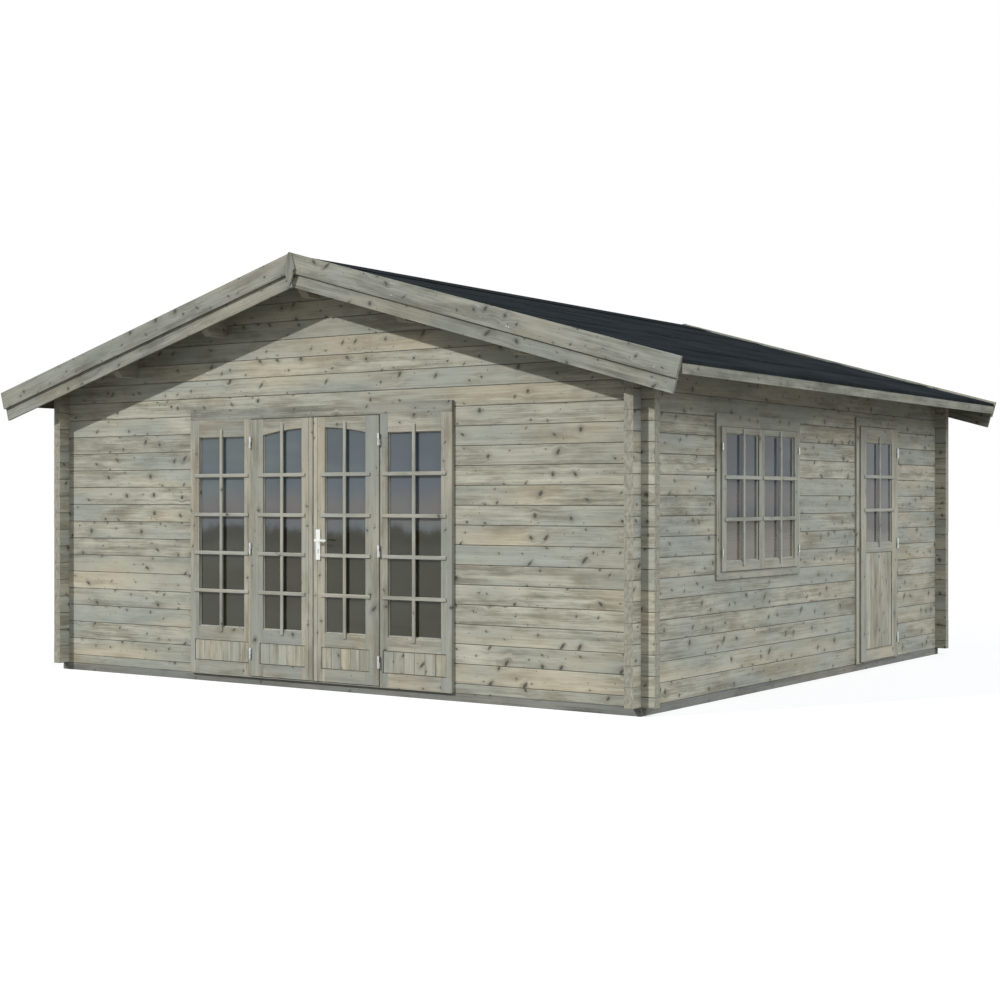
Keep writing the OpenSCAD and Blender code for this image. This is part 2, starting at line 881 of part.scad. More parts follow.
// The long plate on the right-hand leaf's meeting stile, bored for the lever's neck.
module handle_plate() {
    face = leaf_face - seat;
    x = leaf_x0 + lever_x;
    color(zinc) on_front() difference() {
        translate([x, 0, plate_z]) along_y([face - plate_t, face]) plate_outline();
        translate([x, face + cut, lever_z]) rotate([90, 0, 0])
            cylinder(r = lever_neck_r + pin_fit, h = plate_t + 2 * cut, $fn = 48);
    }
}

module lever_handle() {
    root = leaf_face - 2 * seat;
    reach = plate_t + lever_neck;
    color(zinc) on_front() translate([leaf_x0 + lever_x, root, lever_z]) {
        rotate([90, 0, 0]) cylinder(r = lever_neck_r, h = reach, $fn = 48);
        along_y([-reach, grip_size[1] - reach]) round_bar(lever_len, grip_size[0]);
    }
}

foundation_frame();
floor_joists();
floor_boards();
front_wall_left();
front_wall_right();
front_gable();
rear_wall();
rear_gable();
left_wall();
right_wall_front();
right_wall_rear();
right_wall_top();
ridge_purlin();
side_purlins_left();
side_purlins_right();
roof_boards_left();
roof_boards_right();
roof_felt_left();
roof_felt_right();
front_barge_left();
front_barge_right();
rear_barge_left();
rear_barge_right();
ridge_finials();
eave_fascias();
door_frame();
sidelights();
sidelight_glass();
left_door();
left_door_glass();
right_door();
right_door_glass();
left_door_hinges();
right_door_hinges();
handle_plate();
lever_handle();
side_door_frame();
side_door();
side_door_glass();
side_door_hinges();
frame_hinges();
window_frame();
window_sashes();
window_glass();
window_hinges();
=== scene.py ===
"""A log cabin with double front doors, sidelights, a side window and a side door.

The sections follow the building as it is put up: ground, bearers and floor, log
walls, roof, barge boards, front door set, side door, window and door furniture.
Lengths are in metres and colours in 0-255 screen values.
"""

import math

import bmesh
import bpy
import numpy as np
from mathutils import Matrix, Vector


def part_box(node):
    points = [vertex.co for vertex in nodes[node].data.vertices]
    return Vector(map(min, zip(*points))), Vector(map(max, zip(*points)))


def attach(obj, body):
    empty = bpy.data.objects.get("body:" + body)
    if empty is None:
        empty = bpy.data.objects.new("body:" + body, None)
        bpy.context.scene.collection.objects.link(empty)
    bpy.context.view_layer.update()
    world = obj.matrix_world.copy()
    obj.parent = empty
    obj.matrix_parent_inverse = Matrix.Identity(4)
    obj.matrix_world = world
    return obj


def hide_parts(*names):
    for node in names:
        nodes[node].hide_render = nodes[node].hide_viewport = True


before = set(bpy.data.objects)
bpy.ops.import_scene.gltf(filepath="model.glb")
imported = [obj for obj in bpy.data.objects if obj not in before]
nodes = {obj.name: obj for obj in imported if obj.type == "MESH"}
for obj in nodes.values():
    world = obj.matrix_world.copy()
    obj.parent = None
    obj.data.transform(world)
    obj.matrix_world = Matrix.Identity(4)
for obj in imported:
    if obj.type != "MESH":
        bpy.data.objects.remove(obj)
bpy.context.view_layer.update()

# ---- Camera ----
# A standing viewer's eye, off the right-hand front corner, looking level.
lens = bpy.data.cameras.new("viewer")
lens.lens = 60.69
lens.sensor_width = 36.0
lens.clip_end = 200.0
viewer = bpy.data.objects.new("viewer", lens)
viewer.location = (8.2085, -12.246, 1.4061)
viewer.rotation_euler = (math.radians(90.0), 0.0, math.radians(34.54))
bpy.context.scene.collection.objects.link(viewer)
bpy.context.scene.camera = viewer


# ---- Shader writing ----
# Wood, felt, glass and metal are written as sums of patterns over the place on a piece.
class Wire:
    """An output in a material's node graph; operators on it add Math nodes."""

    def __init__(self, tree, socket=None):
        self.tree, self.socket = tree, socket

    def add(self, kind, settings=None, values=None, out=0):
        """Adds a node: its settings first, then the numbers or wires of its sockets."""
        node = self.tree.nodes.new("ShaderNode" + kind)
        for key, value in (settings or {}).items():
            setattr(node, key, value)
        for key, value in (values or {}).items():
            if isinstance(value, Wire):
                self.tree.links.new(value.socket, node.inputs[key])
            else:
                node.inputs[key].default_value = value
        return Wire(self.tree, node.outputs[out])

    def math(self, operation, *others):
        return self.add("Math", {"operation": operation}, dict(enumerate((self,) + others)))

    def __add__(self, other):
        return self.math("ADD", other)

    def __sub__(self, other):
        return self.math("SUBTRACT", other)

    def __rsub__(self, other):
        return self.add("Math", {"operation": "SUBTRACT"}, {0: other, 1: self})

    def __mul__(self, other):
        return self.math("MULTIPLY", other)

    def __truediv__(self, other):
        return self.math("DIVIDE", other)

    def __gt__(self, other):
        return self.math("GREATER_THAN", other)

    def __lt__(self, other):
        return self.math("LESS_THAN", other)

    def __mod__(self, other):
        return self.math("FLOORED_MODULO", other)

    def __abs__(self):
        return self.math("ABSOLUTE")

    __radd__, __rmul__ = __add__, __mul__

    def split(self):
        """The three parts of a vector."""
        node = self.tree.nodes.new("ShaderNodeSeparateXYZ")
        self.tree.links.new(self.socket, node.inputs[0])
        return [Wire(self.tree, output) for output in node.outputs]

    def join(self, x, y, z):
        """A vector of three numbers or wires."""
        return self.add("CombineXYZ", None, {0: x, 1: y, 2: z})

    def ease(self, start, stop):
        """0 at start, 1 at stop, with a smooth turn at both."""
        return self.add(
            "MapRange", {"interpolation_type": "SMOOTHSTEP"}, {0: self, 1: start, 2: stop}
        )

    def mix(self, low, high):
        """The colour low where this is 0 and high where it is 1."""
        return self.add("Mix", {"data_type": "RGBA"}, {0: self, 6: low, 7: high}, out=2)

    def noise(self, vector, detail=2.0, rough=0.5):
        """Fractal noise about 0, mostly between -0.3 and 0.3."""
        values = {"Vector": vector, "Scale": 1.0, "Detail": detail, "Roughness": rough}
        return self.add("TexNoise", None, values) - 0.5


def paint(red, green, blue):
    """A colour written in screen values, as the shader's linear light."""
    share = np.array([red, green, blue]) / 255.0
    light = np.where(share <= 0.04045, share / 12.92, ((share + 0.055) / 1.055) ** 2.4)
    return (*(float(v) for v in light), 1.0)


def darker(colour, share):
    """A share of a colour's light."""
    return (*(v * share for v in colour[:3]), 1.0)


def finish_material(name, roughness, metallic=0.0, ior=1.45):
    """A new material: its shader, and a wire to its place on the piece."""
    material = bpy.data.materials.new(name)
    material.use_nodes = True
    shader = material.node_tree.nodes["Principled BSDF"]
    shader.inputs["Roughness"].default_value = roughness
    shader.inputs["Metallic"].default_value = metallic
    shader.inputs["IOR"].default_value = ior
    place = Wire(material.node_tree).add("TexCoord", out=3)
    return material, shader, place


def feed(shader, socket, wire):
    wire.tree.links.new(wire.socket, shader.inputs[socket])


def relief(shader, height, depth):
    """Raises the surface by height times depth metres."""
    values = {"Strength": 1.0, "Distance": depth, "Height": height}
    feed(shader, "Normal", height.add("Bump", None, values))


# ---- Daylight, ground and sky ----
# A sun 33 degrees up at the front left, soft light from the right, and a pale ground.
def sun(name, travel, strength, spread, colour=(1.0, 1.0, 1.0)):
    """A far light that shines along travel, spread over so many degrees of sky."""
    lamp = bpy.data.lights.new(name, "SUN")
    lamp.energy, lamp.angle, lamp.color = strength, math.radians(spread), colour
    lamp_object = bpy.data.objects.new(name, lamp)
    direction = Vector(travel).normalized()
    lamp_object.rotation_euler = direction.to_track_quat("-Z", "Y").to_euler()
    bpy.context.scene.collection.objects.link(lamp_object)


sun("sun", (0.56, 1.0, -0.75), 2.65, 1.5)
sun("side_sky", (-1.0, 0.12, -0.75), 2.2, 50.0, (0.95, 1.0, 1.07))

world = bpy.data.worlds.new("sky")
bpy.context.scene.world = world
world.use_nodes = True
sky_tree = world.node_tree
sky_back = sky_tree.nodes["Background"]
sky_back.inputs["Color"].default_value = (1.0, 1.0, 1.0, 1.0)


def seen(tree):
    """1 for rays from the camera, mirrors and glass, 0 for rays that carry light."""
    path = tree.nodes.new("ShaderNodeLightPath")
    parts = [Wire(tree, path.outputs[n]) for n in
             ("Is Camera Ray", "Is Glossy Ray", "Is Transmission Ray")]
    return parts[0].math("MAXIMUM", parts[1]).math("MAXIMUM", parts[2])


sky_light = 0.42
feed(sky_back, "Strength", seen(sky_tree) * (1.0 - sky_light) + sky_light)

FAR = 60.0
ground_mesh = bpy.data.meshes.new("ground")
corners = [(-FAR, -FAR, 0.0), (FAR, -FAR, 0.0), (FAR, FAR, 0.0), (-FAR, FAR, 0.0)]
ground_mesh.from_pydata(corners, [], [(0, 1, 2, 3)])
ground = bpy.data.objects.new("ground", ground_mesh)
bpy.context.scene.collection.objects.link(ground)
ground_material = bpy.data.materials.new("pale_ground")
ground_material.use_nodes = True
ground_tree = ground_material.node_tree
ground_tree.nodes.clear()
ground_out = ground_tree.nodes.new("ShaderNodeOutputMaterial")
start = Wire(ground_tree)
dull = start.add("BsdfDiffuse", None, {"Color": (0.22, 0.215, 0.20, 1.0)})
pale = start.add("BsdfDiffuse", None, {"Color": (0.42, 0.42, 0.42, 1.0)})
glow = start.add("Emission", None, {"Color": (1.0, 1.0, 1.0, 1.0), "Strength": 0.66})
bright = start.add("AddShader", None, {0: pale, 1: glow})
shown = start.add("MixShader", None, {0: seen(ground_tree), 1: dull, 2: bright})
feed(ground_out, "Surface", shown)
ground_mesh.materials.append(ground_material)
bpy.context.scene.view_settings.view_transform = "Standard"


# ---- Bearers and joists ----
# Planed softwood laid flat on the ground; the walls and the floor stand on them.
# Knots and pin knots stand in the cells of scattered nets of these pitches. A face
# whose normal lies this far along the grain shows its end.
KNOT_CELL, PIN_CELL = 0.145, 0.070
END_ON = 0.7


def wood(name, grain, dark, light, tint, tint_share=0.5, knots=0.70, roughness=0.72,
         line=None, spread=0.14, warmth=0.5):
    """Planed softwood. grain gives, from a place on the piece, the distance along the
    grain, across it and through it, a number for each board, and 1 on end grain. What
    the grain functions add to that number only keeps boards apart.

    Streaks are noise stretched along the grain. A knot stands in most cells of a
    scattered net, and the streaks near it are pushed aside by a bell-shaped share of
    their distance from it. dark and light are the limits of the streaks. Slow patches
    lean towards tint, others towards a warmer tone. spread is how far boards differ,
    and warmth how strong the warm patches are. knots is the share of cells with a knot.
    line gives 1 on board joints, which are darkened there: painted groove shade on the log
    walls, hair lines where stiles meet rails elsewhere."""
    material, shader, place = finish_material(name, roughness)
    x, y, z = place.split()
    normal = place.add("TexCoord", out=1).split()
    along, across, through, board, end = grain(x, y, z, normal)
    chance = place.add("TexWhiteNoise", {"noise_dimensions": "1D"}, {"W": board}, out=1)
    luck, luck_2, luck_3 = chance.split()

    net = place.join(along + luck * 40.0, across, 0.0)

    def scatter(cell):
        """The offset from the nearest point of a scattered net, and its random numbers."""
        settings, values = {"voronoi_dimensions": "2D"}, {"Vector": net, "Scale": 1.0 / cell}
        nearest = place.add("TexVoronoi", settings, values, out=2)
        numbers = Wire(place.tree, nearest.socket.node.outputs[1]).split()
        offset = place.add("VectorMath", {"operation": "SUBTRACT"}, {0: net, 1: nearest})
        return offset.split()[:2], numbers

    def length(a, b):
        return (a * a + b * b).math("SQRT")

    # Knots 5 to 15 mm in radius, slanted and ragged, each with a halo and a tail, and
    # pin knots of 2 to 5 mm.
    (off_along, off_across), knot_luck = scatter(KNOT_CELL)
    has_knot = (knot_luck[0] < knots) * (1.0 - end)
    size = knot_luck[1] * knot_luck[1] * 0.010 + 0.0046
    slant = (knot_luck[2] - 0.5) * 1.6
    thin = knot_luck[2] * 0.55 + 0.60
    reach = length((off_along + off_across * slant) * 1.05, off_across * thin)
    ragged = place.noise(place.join(off_along * 150.0, off_across * 80.0, board), 2.0)
    knot = (reach * (ragged * 1.8 + 1.0) / size).ease(1.35, 0.65) * has_knot
    halo = (reach * (ragged * 1.4 + 1.0) / size).ease(3.4, 0.8) * has_knot
    tail = (length(off_along * 0.22, off_across * 1.1) / size).ease(2.6, 0.2) * has_knot
    push = (reach * reach / (size * size * -9.0)).math("EXPONENT") * has_knot
    bent = across - off_across * push * 0.8
    (pin_along, pin_across), pin_luck = scatter(PIN_CELL)
    pin = (length(pin_along, pin_across * 0.8) / (pin_luck[1] * 0.003 + 0.002)).ease(1.4, 0.6)
    pin = pin * (pin_luck[0] < knots * 0.36) * (1.0 - end)

    # Streaks at three widths, slow patches, and short marks on end grain.
    long_part = along + luck * 31.0
    deep_part = through * 21.0 + luck_2 * 9.0
    broad = place.noise(place.join(long_part * 0.55, bent * 21.0, deep_part), 3.0, 0.6)
    middle = place.noise(place.join(long_part * 2.2, bent * 85.0, through * 85.0), 2.0)
    fine = place.noise(place.join(long_part * 9.0, bent * 420.0, through * 420.0), 2.0)
    patch = place.noise(place.join(long_part * 2.6, bent * 9.5, luck_3 * 7.0 + board), 4.0, 0.62)
    cloud = place.noise(place.join(long_part * 1.1, across * 2.2, through), 2.0)
    blush = place.noise(place.join(long_part * 0.8 + 60.0, across * 3.0, luck * 5.0), 2.0)
    ends = place.noise(place.join(along * 30.0, across * 26.0, through * 55.0), 3.0) * end
    plain = 1.0 - end
    tone = (broad * 0.85 + middle * 0.7 + fine * 0.6 + patch * 1.35) * plain
    tone = tone + ends * 0.9 + (luck_2 - 0.5) * spread * plain + 0.5
    colour = tone.ease(0.06, 0.94).mix(dark, light)
    lean = patch * 1.1 + cloud * 2.4 + (luck_3 - 0.5) * spread * 2.0 + 0.45
    lean = lean.ease(0.1, 0.9) * tint_share * plain
    colour = lean.mix(colour, tint)
    warm = (*(v * share for v, share in zip(light, (1.02, 0.90, 0.76))), 1.0)
    colour = ((blush * 3.0 + 0.15).ease(0.0, 1.0) * plain * warmth).mix(colour, warm)
    colour = (end * 0.26).mix(colour, darker(dark, 0.55))
    colour = (tail * 0.30).mix(colour, dark)
    colour = (halo * 0.36).mix(colour, darker(dark, 0.66))
    colour = (pin * 0.72).mix(colour, darker(dark, 0.36))
    colour = (knot * 0.88).mix(colour, darker(dark, 0.22))
    # Darkened joints: painted shade in the grooves of the log walls, hair lines on doors and
    # sashes.
    if line is not None:
        colour = (line(x, y, z) * (1.0 - end * 0.35) * 0.62).mix(colour, darker(dark, 0.33))
    feed(shader, "Base Color", colour)
    feed(shader, "Roughness", (fine * 0.25 + roughness) - knot * 0.12)
    relief(shader, fine * 0.5 + middle * 0.6 - knot * 0.5, 0.0012)
    return material


def dress(material, *names):
    """Gives a whole CAD node one finish."""
    for name in names:
        slots = nodes[name].data.materials
        slots.clear()
        slots.append(material)


def along_y(x, y, z, n):
    return y, z + x, x - z, (x * 0.7).math("FLOOR"), abs(n[1]) > END_ON


def swapped(mask, a, b):
    """The values a and b, changed over where mask is 1."""
    return mask * (b - a) + a, mask * (a - b) + b


# The side bearers stop a log's thickness short of the outside, here 0.5 mm more.
BEARER_STOP = 0.0705
bearer_inner = float(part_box("foundation_frame")[1].y) - BEARER_STOP


def bearer_grain(x, y, z, n):
    """Front and rear bearers run along X, the side ones along Y."""
    side = abs(y) < bearer_inner
    run, cross = swapped(side, x, y)
    end = side * (abs(n[1]) - abs(n[0])) + abs(n[0])
    board = (x * 0.6 + 9.0).math("FLOOR") + side * 3.0
    return run, z + cross, cross - z, board, end > END_ON


bearer_tones = paint(86, 86, 80), paint(133, 133, 126), paint(110, 115, 111)
dress(wood("bearer_wood", bearer_grain, *bearer_tones, knots=0.5), "foundation_frame")
dress(wood("joist_wood", along_y, *bearer_tones), "floor_joists")


# ---- Floor ----
# Tongued pine boards, nailed across the joists, with a small bevel at each joint.
def chamfered(low, high, bevel):
    """Boxes with flattened edges. Each corner becomes three points, one on each face
    that meets there, moved in by the bevel along that face's two axes."""
    low, high = np.atleast_2d(low).astype(float), np.atleast_2d(high).astype(float)
    signs = np.array([[i, j, k] for i in (0, 1) for j in (0, 1) for k in (0, 1)])
    corner = low[:, None] + signs * (high - low)[:, None]
    move = (bevel * (1 - 2 * signs))[:, None] * (1 - np.eye(3))[None]
    points = (corner[:, :, None] + move[None]).reshape(-1, 3)
    template = []
    for axis in range(3):
        b, c = (axis + 1) % 3, (axis + 2) % 3
        for side in (0, 1):
            ring = [(side, 0, 0), (side, 1, 0), (side, 1, 1), (side, 0, 1)]
            template.append([corner_at(axis, b, c, r) * 3 + axis for r in ring])
        for sb in (0, 1):
            for sc in (0, 1):
                first = corner_at(axis, b, c, (0, sb, sc))
                last = corner_at(axis, b, c, (1, sb, sc))
                template.append([first * 3 + b, last * 3 + b, last * 3 + c, first * 3 + c])
    template += [[3 * n, 3 * n + 1, 3 * n + 2] for n in range(8)]
    return points, copies(template, len(low), 24)


def corner_at(a, b, c, signs):
    """The number of the box corner with these signs along the axes a, b and c."""
    return sum(sign << (2 - axis) for axis, sign in zip((a, b, c), signs))


def copies(faces, count, stride):
    """The faces of a shape whose points are repeated count times, stride points apart."""
    return [[p + n * stride for p in face] for n in range(count) for face in faces]


def joined(*parts):
    """Several (points, faces) as one."""
    points, faces, total = [], [], 0
    for p, f in parts:
        points.append(np.asarray(p, float).reshape(-1, 3))
        faces += [[i + total for i in face] for face in f]
        total += len(points[-1])
    return np.concatenate(points), faces


def piece(name, shape, material, body, smooth=None, replaces=()):
    """A finished piece from points and faces, facing outwards, riding on a body."""
    points, faces = shape
    mesh = bpy.data.meshes.new(name)
    mesh.from_pydata(np.asarray(points).tolist(), [], faces)
    work = bmesh.new()
    work.from_mesh(mesh)
    bmesh.ops.recalc_face_normals(work, faces=work.faces)
    work.to_mesh(mesh)
    work.free()
    if smooth:
        mesh.polygons.foreach_set("use_smooth", [True] * len(mesh.polygons))
        mesh.set_sharp_from_angle(angle=math.radians(smooth))
    mesh.materials.append(material)
    thing = bpy.data.objects.new(name, mesh)
    bpy.context.scene.collection.objects.link(thing)
    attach(thing, body)
    if replaces:
        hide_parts(*replaces)


floor_low, floor_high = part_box("floor_boards")
board_count = 46
FLOOR_GAP, FLOOR_BEVEL = 0.0002, 0.0015
edges = np.linspace(floor_low.y, floor_high.y, board_count + 1)
low = np.column_stack([np.full(board_count, floor_low.x), edges[:-1] + FLOOR_GAP,
                       np.full(board_count, floor_low.z)])
high = np.column_stack([np.full(board_count, floor_high.x), edges[1:] - FLOOR_GAP,
                        np.full(board_count, floor_high.z)])
floor_step = float(edges[1] - edges[0])


def floor_grain(x, y, z, n):
    board = ((y - float(floor_low.y)) / floor_step).math("FLOOR")
    return x, y + z, z, board, abs(n[0]) > END_ON


floor_wood = wood("floor_wood", floor_grain, paint(128, 108, 82), paint(178, 156, 122),
                  paint(150, 132, 104))
piece("floor_planks", chamfered(low, high, FLOOR_BEVEL), floor_wood, "cabin",
      replaces=["floor_boards"])


# ---- Log walls ----
# Square-edged spruce logs with bevelled arrises, notched over each other at the
# corners. Each log has weathered to its own beige, grey-green or blue-grey.
COURSE = 0.138
# The heights at which the courses of the gable walls and of the side walls start.
GABLE_START, SIDE_START = 0.126, 0.057
# Where the logs beside the front doors end, and those behind the side door start.
DOOR_SET_TOP, SIDE_DOOR_Y = 2.05, 0.9
log_dark, log_light, log_tint = paint(114, 111, 96), paint(188, 185, 168), paint(140, 148, 142)


def gable_log_grain(x, y, z, n):
    course = ((z - GABLE_START) / COURSE).math("FLOOR")
    beside_door = (x > 0.0) * (z < DOOR_SET_TOP) * (y < 0.0)
    return x, z, y, course + beside_door * 40.0 + (y > 0.0) * 90.0, abs(n[0]) > END_ON


def side_log_grain(x, y, z, n):
    course = ((z - SIDE_START) / COURSE).math("FLOOR")
    log = course + (y > SIDE_DOOR_Y) * 50.0 + (x > 0.0) * 170.0 + 300.0
    return y, z, x, log, abs(n[1]) > END_ON


def course_groove_shade(begin):
    """Painted shade of the V groove along each joint of the courses: a soft dark line 8 mm above
    the joint and 3 mm below it.
    """
    def line(x, y, z):
        part = ((z - begin) / COURSE) % 1.0
        above = (part * COURSE).ease(0.008, 0.002)
        below = ((1.0 - part) * COURSE).ease(0.003, 0.0)
        return above.math("MAXIMUM", below)
    return line


# The log walls darken their course joints with painted groove shade.
dress(wood("gable_log_wood", gable_log_grain, log_dark, log_light, log_tint, 0.62,
           line=course_groove_shade(GABLE_START)),
      "front_wall_left", "front_wall_right", "front_gable", "rear_wall", "rear_gable")
dress(wood("side_log_wood", side_log_grain, log_dark, log_light, log_tint, 0.62,
           line=course_groove_shade(SIDE_START)),
      "left_wall", "right_wall_front", "right_wall_rear", "right_wall_top")

# ---- Purlins ----
# Five sawn beams from gable to gable; their bevelled ends show under the verges.
purlin_wood = wood("purlin_wood", along_y, paint(128, 124, 108), paint(176, 172, 156),
                   paint(150, 152, 144))
dress(purlin_wood, "ridge_purlin", "side_purlins_left", "side_purlins_right")

# ---- Roof boards ----
# Thin tongued boards from ridge to eave, nailed down on the purlins, V joints below.
SIDES = ((-1, "left"), (1, "right"))
ROOF_RISE = 0.2828
SLOPE = math.atan(ROOF_RISE)
roof_low, roof_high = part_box("roof_boards_right")
plank_count = 62
edges = np.linspace(roof_low.y, roof_high.y, plank_count + 1)
plank_step = float(edges[1] - edges[0])
ridge_under = float(roof_low.z) + ROOF_RISE * float(roof_high.x)
PLANK, PLANK_GAP, PLANK_BEVEL = 0.019, 0.0003, 0.004
RIDGE_GAP = 0.0002
plank_rise = PLANK / math.cos(SLOPE)


def roof_planks(side):
    """Chamfered boxes laid level, then lowered by the roof's fall times the run."""
    low = np.column_stack([np.full(plank_count, RIDGE_GAP), edges[:-1] + PLANK_GAP,
                           np.zeros(plank_count)])
    high = np.column_stack([np.full(plank_count, roof_high.x), edges[1:] - PLANK_GAP,
                            np.full(plank_count, plank_rise)])
    points, faces = chamfered(low, high, PLANK_BEVEL)
    points[:, 2] += ridge_under - ROOF_RISE * points[:, 0]
    points[:, 0] *= side
    return points, faces


def plank_grain(x, y, z, n):
    plank = ((y - float(roof_low.y)) / plank_step).math("FLOOR")
    return x, y + z, z, plank + (x > 0) * 70.0, abs(n[0]) > 0.9


plank_wood = wood("roof_plank_wood", plank_grain, paint(112, 102, 82), paint(158, 146, 122),
                  paint(126, 120, 104))
for side, word in SIDES:
    piece("roof_planks_" + word, roof_planks(side), plank_wood, "cabin",
          replaces=["roof_boards_" + word])


# ---- Roofing felt ----
# Mineral-faced felt in strips along the roof, each lapped over the one below and
# held by clout nails, turned down over the fascia, with a strip over the ridge.
def skin(count, around):
    """The faces over a run of rings: each point joins the next on its ring and the
    same one on the next ring, and the first and last rings are filled in."""
    i, j = np.meshgrid(np.arange(count - 1), np.arange(around), indexing="ij")
    a, b = i * around + j, i * around + (j + 1) % around
    faces = np.stack([a, b, b + around, a + around], -1).reshape(-1, 4).tolist()
    last = (count - 1) * around
    return faces + [list(range(around))[::-1], list(range(last, last + around))]


def loft(rings):
    """A closed skin over rings of points."""
    return rings.reshape(-1, 3), skin(*rings.shape[:2])


# The felt's thickness, and the air under it: over the boards, over the strip that it
# laps, and under the strip over the ridge.
FELT, FELT_OFF, LAP_OFF, CAP_OFF = 0.0026, 0.0005, 0.0012, 0.0022
felt_base = ridge_under + plank_rise + FELT_OFF
felt_end = float(roof_high.y)


def felt_strip(run, lift, side, turn_down=0.0, seed=0):
    """A strip of felt: run is the distance from the ridge at points down the slope and
    lift the height above the boards there. Slow waves in both directions raise it by
    up to a millimetre, and its lower edge wanders by 3 mm."""
    y = np.linspace(-felt_end, felt_end, 90)[:, None]
    x = np.broadcast_to(run[None], (len(y), len(run))).copy()
    share = np.linspace(0.0, 1.0, len(run))[None]
    if not turn_down:
        x += 0.003 * np.sin(2.3 * y + seed) * share ** 4
    wave = 0.0005 * (1.0 + np.sin(3.1 * y + 7.0 * x + seed) * np.sin(1.3 * y - 2.0 * seed))
    low = felt_base - ROOF_RISE * x + lift[None] + wave
    if turn_down:
        x = np.concatenate([x, np.full((len(y), 2), x[0, -1] + FELT * 0.2)], 1)
        edge = low[:, -1:]
        low = np.concatenate([low, edge - turn_down * 0.4, edge - turn_down], 1)
    lean, rise = np.zeros_like(x), np.full_like(x, FELT)
    if turn_down:
        lean[:, -3:] = [FELT * 0.6, FELT * 0.9, FELT * 0.9]
        rise[:, -2:] = 0.0
    upper = np.stack([side * (x + lean), np.broadcast_to(y, x.shape), low + rise], -1)
    under = np.stack([side * x, np.broadcast_to(y, x.shape), low], -1)
    return loft(np.concatenate([upper, under[:, ::-1]], 1))


def lapped(first, last, lap=0.09):
    """Points down a strip, with the lift that carries it over the strip below. The lift
    starts 30 mm before the lap and is complete 50 mm further down."""
    begin = last - lap - 0.03
    run = np.concatenate([np.linspace(first, begin, 12), np.linspace(last - lap, last, 8)])
    step = np.clip((run - begin) / 0.05, 0.0, 1.0)
    return run, (FELT + LAP_OFF) * step * step * (3.0 - 2.0 * step)


# Where each strip starts and ends, level from the ridge, the last with how far it turns
# down at the eave, and half the width of the ridge strip.
strips = [(0.12, 0.86), (0.77, 1.72), (1.63, 2.58)]
EAVE_STRIP, TURN_DOWN, CAP_HALF = (2.49, 3.2005), 0.022, 0.33


def ridge_cap():
    """The strip over the ridge: a profile that follows both slopes, rounded within
    20 mm of the ridge, carried along Y."""
    x = np.concatenate([-np.linspace(CAP_HALF, 0.03, 10), np.linspace(-0.02, 0.02, 5),
                        np.linspace(0.03, CAP_HALF, 10)])
    y = np.linspace(-felt_end, felt_end, 60)[:, None]
    bend = np.sqrt(x * x + 0.012 ** 2) - 0.012
    wave = 0.0004 * np.sin(2.0 * y + 3.0 * x[None])
    low = felt_base + FELT + CAP_OFF - ROOF_RISE * bend[None] + wave
    flat = np.broadcast_to(x[None], low.shape)
    level = np.broadcast_to(y, low.shape)
    upper = np.stack([flat, level, low + FELT], -1)
    under = np.stack([flat, level, low], -1)
    return loft(np.concatenate([upper, under[:, ::-1]], 1))


felt, felt_shader, felt_place = finish_material("mineral_felt", 0.86)
fx, fy, fz = felt_place.split()
grit = felt_place.noise(felt_place.join(fx * 900.0, fy * 900.0, fz * 900.0), 1.0)
blotch = felt_place.noise(felt_place.join(abs(fx) * 3.0, fy * 1.1, 0.0), 4.0, 0.6)
run_marks = felt_place.noise(felt_place.join(abs(fx) * 1.2, fy * 14.0, 0.0), 2.0)
felt_tone = (grit * 1.3 + blotch * 1.1 + run_marks * 0.55 + 0.5).ease(0.0, 1.0)
feed(felt_shader, "Base Color", felt_tone.mix(paint(26, 30, 33), paint(51, 56, 58)))
felt_shader.inputs["Specular IOR Level"].default_value = 0.0
feed(felt_shader, "Roughness", blotch * 0.2 + 0.90)
relief(felt_shader, grit, 0.0009)
for side, word in SIDES:
    shapes = [felt_strip(*lapped(a, b), side, seed=n + side) for n, (a, b) in enumerate(strips)]
    eave_run = np.linspace(*EAVE_STRIP, 16)
    shapes.append(felt_strip(eave_run, np.zeros(16), side, turn_down=TURN_DOWN, seed=5 + side))
    piece("felt_strips_" + word, joined(*shapes), felt, "cabin", smooth=35,
          replaces=["roof_felt_" + word])
piece("felt_ridge_strip", ridge_cap(), felt, "cabin", smooth=35)


def stud_heads(centres, up, radius, height, sides=8):
    """Low round heads: for each centre, a ring as far below the surface as the head is
    high, a rim a little above it, and a crown of half the radius at the full height."""
    centres = np.atleast_2d(centres).astype(float)
    up = np.broadcast_to(np.asarray(up, float), centres.shape)
    up = up / np.linalg.norm(up, axis=1, keepdims=True)
    other = np.where(np.abs(up[:, 2:]) > 0.9, [[1.0, 0.0, 0.0]], [[0.0, 0.0, 1.0]])
    u = np.cross(up, other)
    u /= np.linalg.norm(u, axis=1, keepdims=True)
    v = np.cross(up, u)
    turn = np.linspace(0.0, 2.0 * math.pi, sides, endpoint=False)[None, :, None]
    spoke = np.cos(turn) * u[:, None] + np.sin(turn) * v[:, None]
    base = centres[:, None] + spoke * radius - up[:, None] * height
    rim = centres[:, None] + spoke * radius * 0.92 + up[:, None] * height * 0.4
    crown = centres[:, None] + spoke * radius * 0.5 + up[:, None] * height
    points = np.concatenate([base, rim, crown], 1).reshape(-1, 3)
    return points, copies(skin(3, sides), len(centres), 3 * sides)


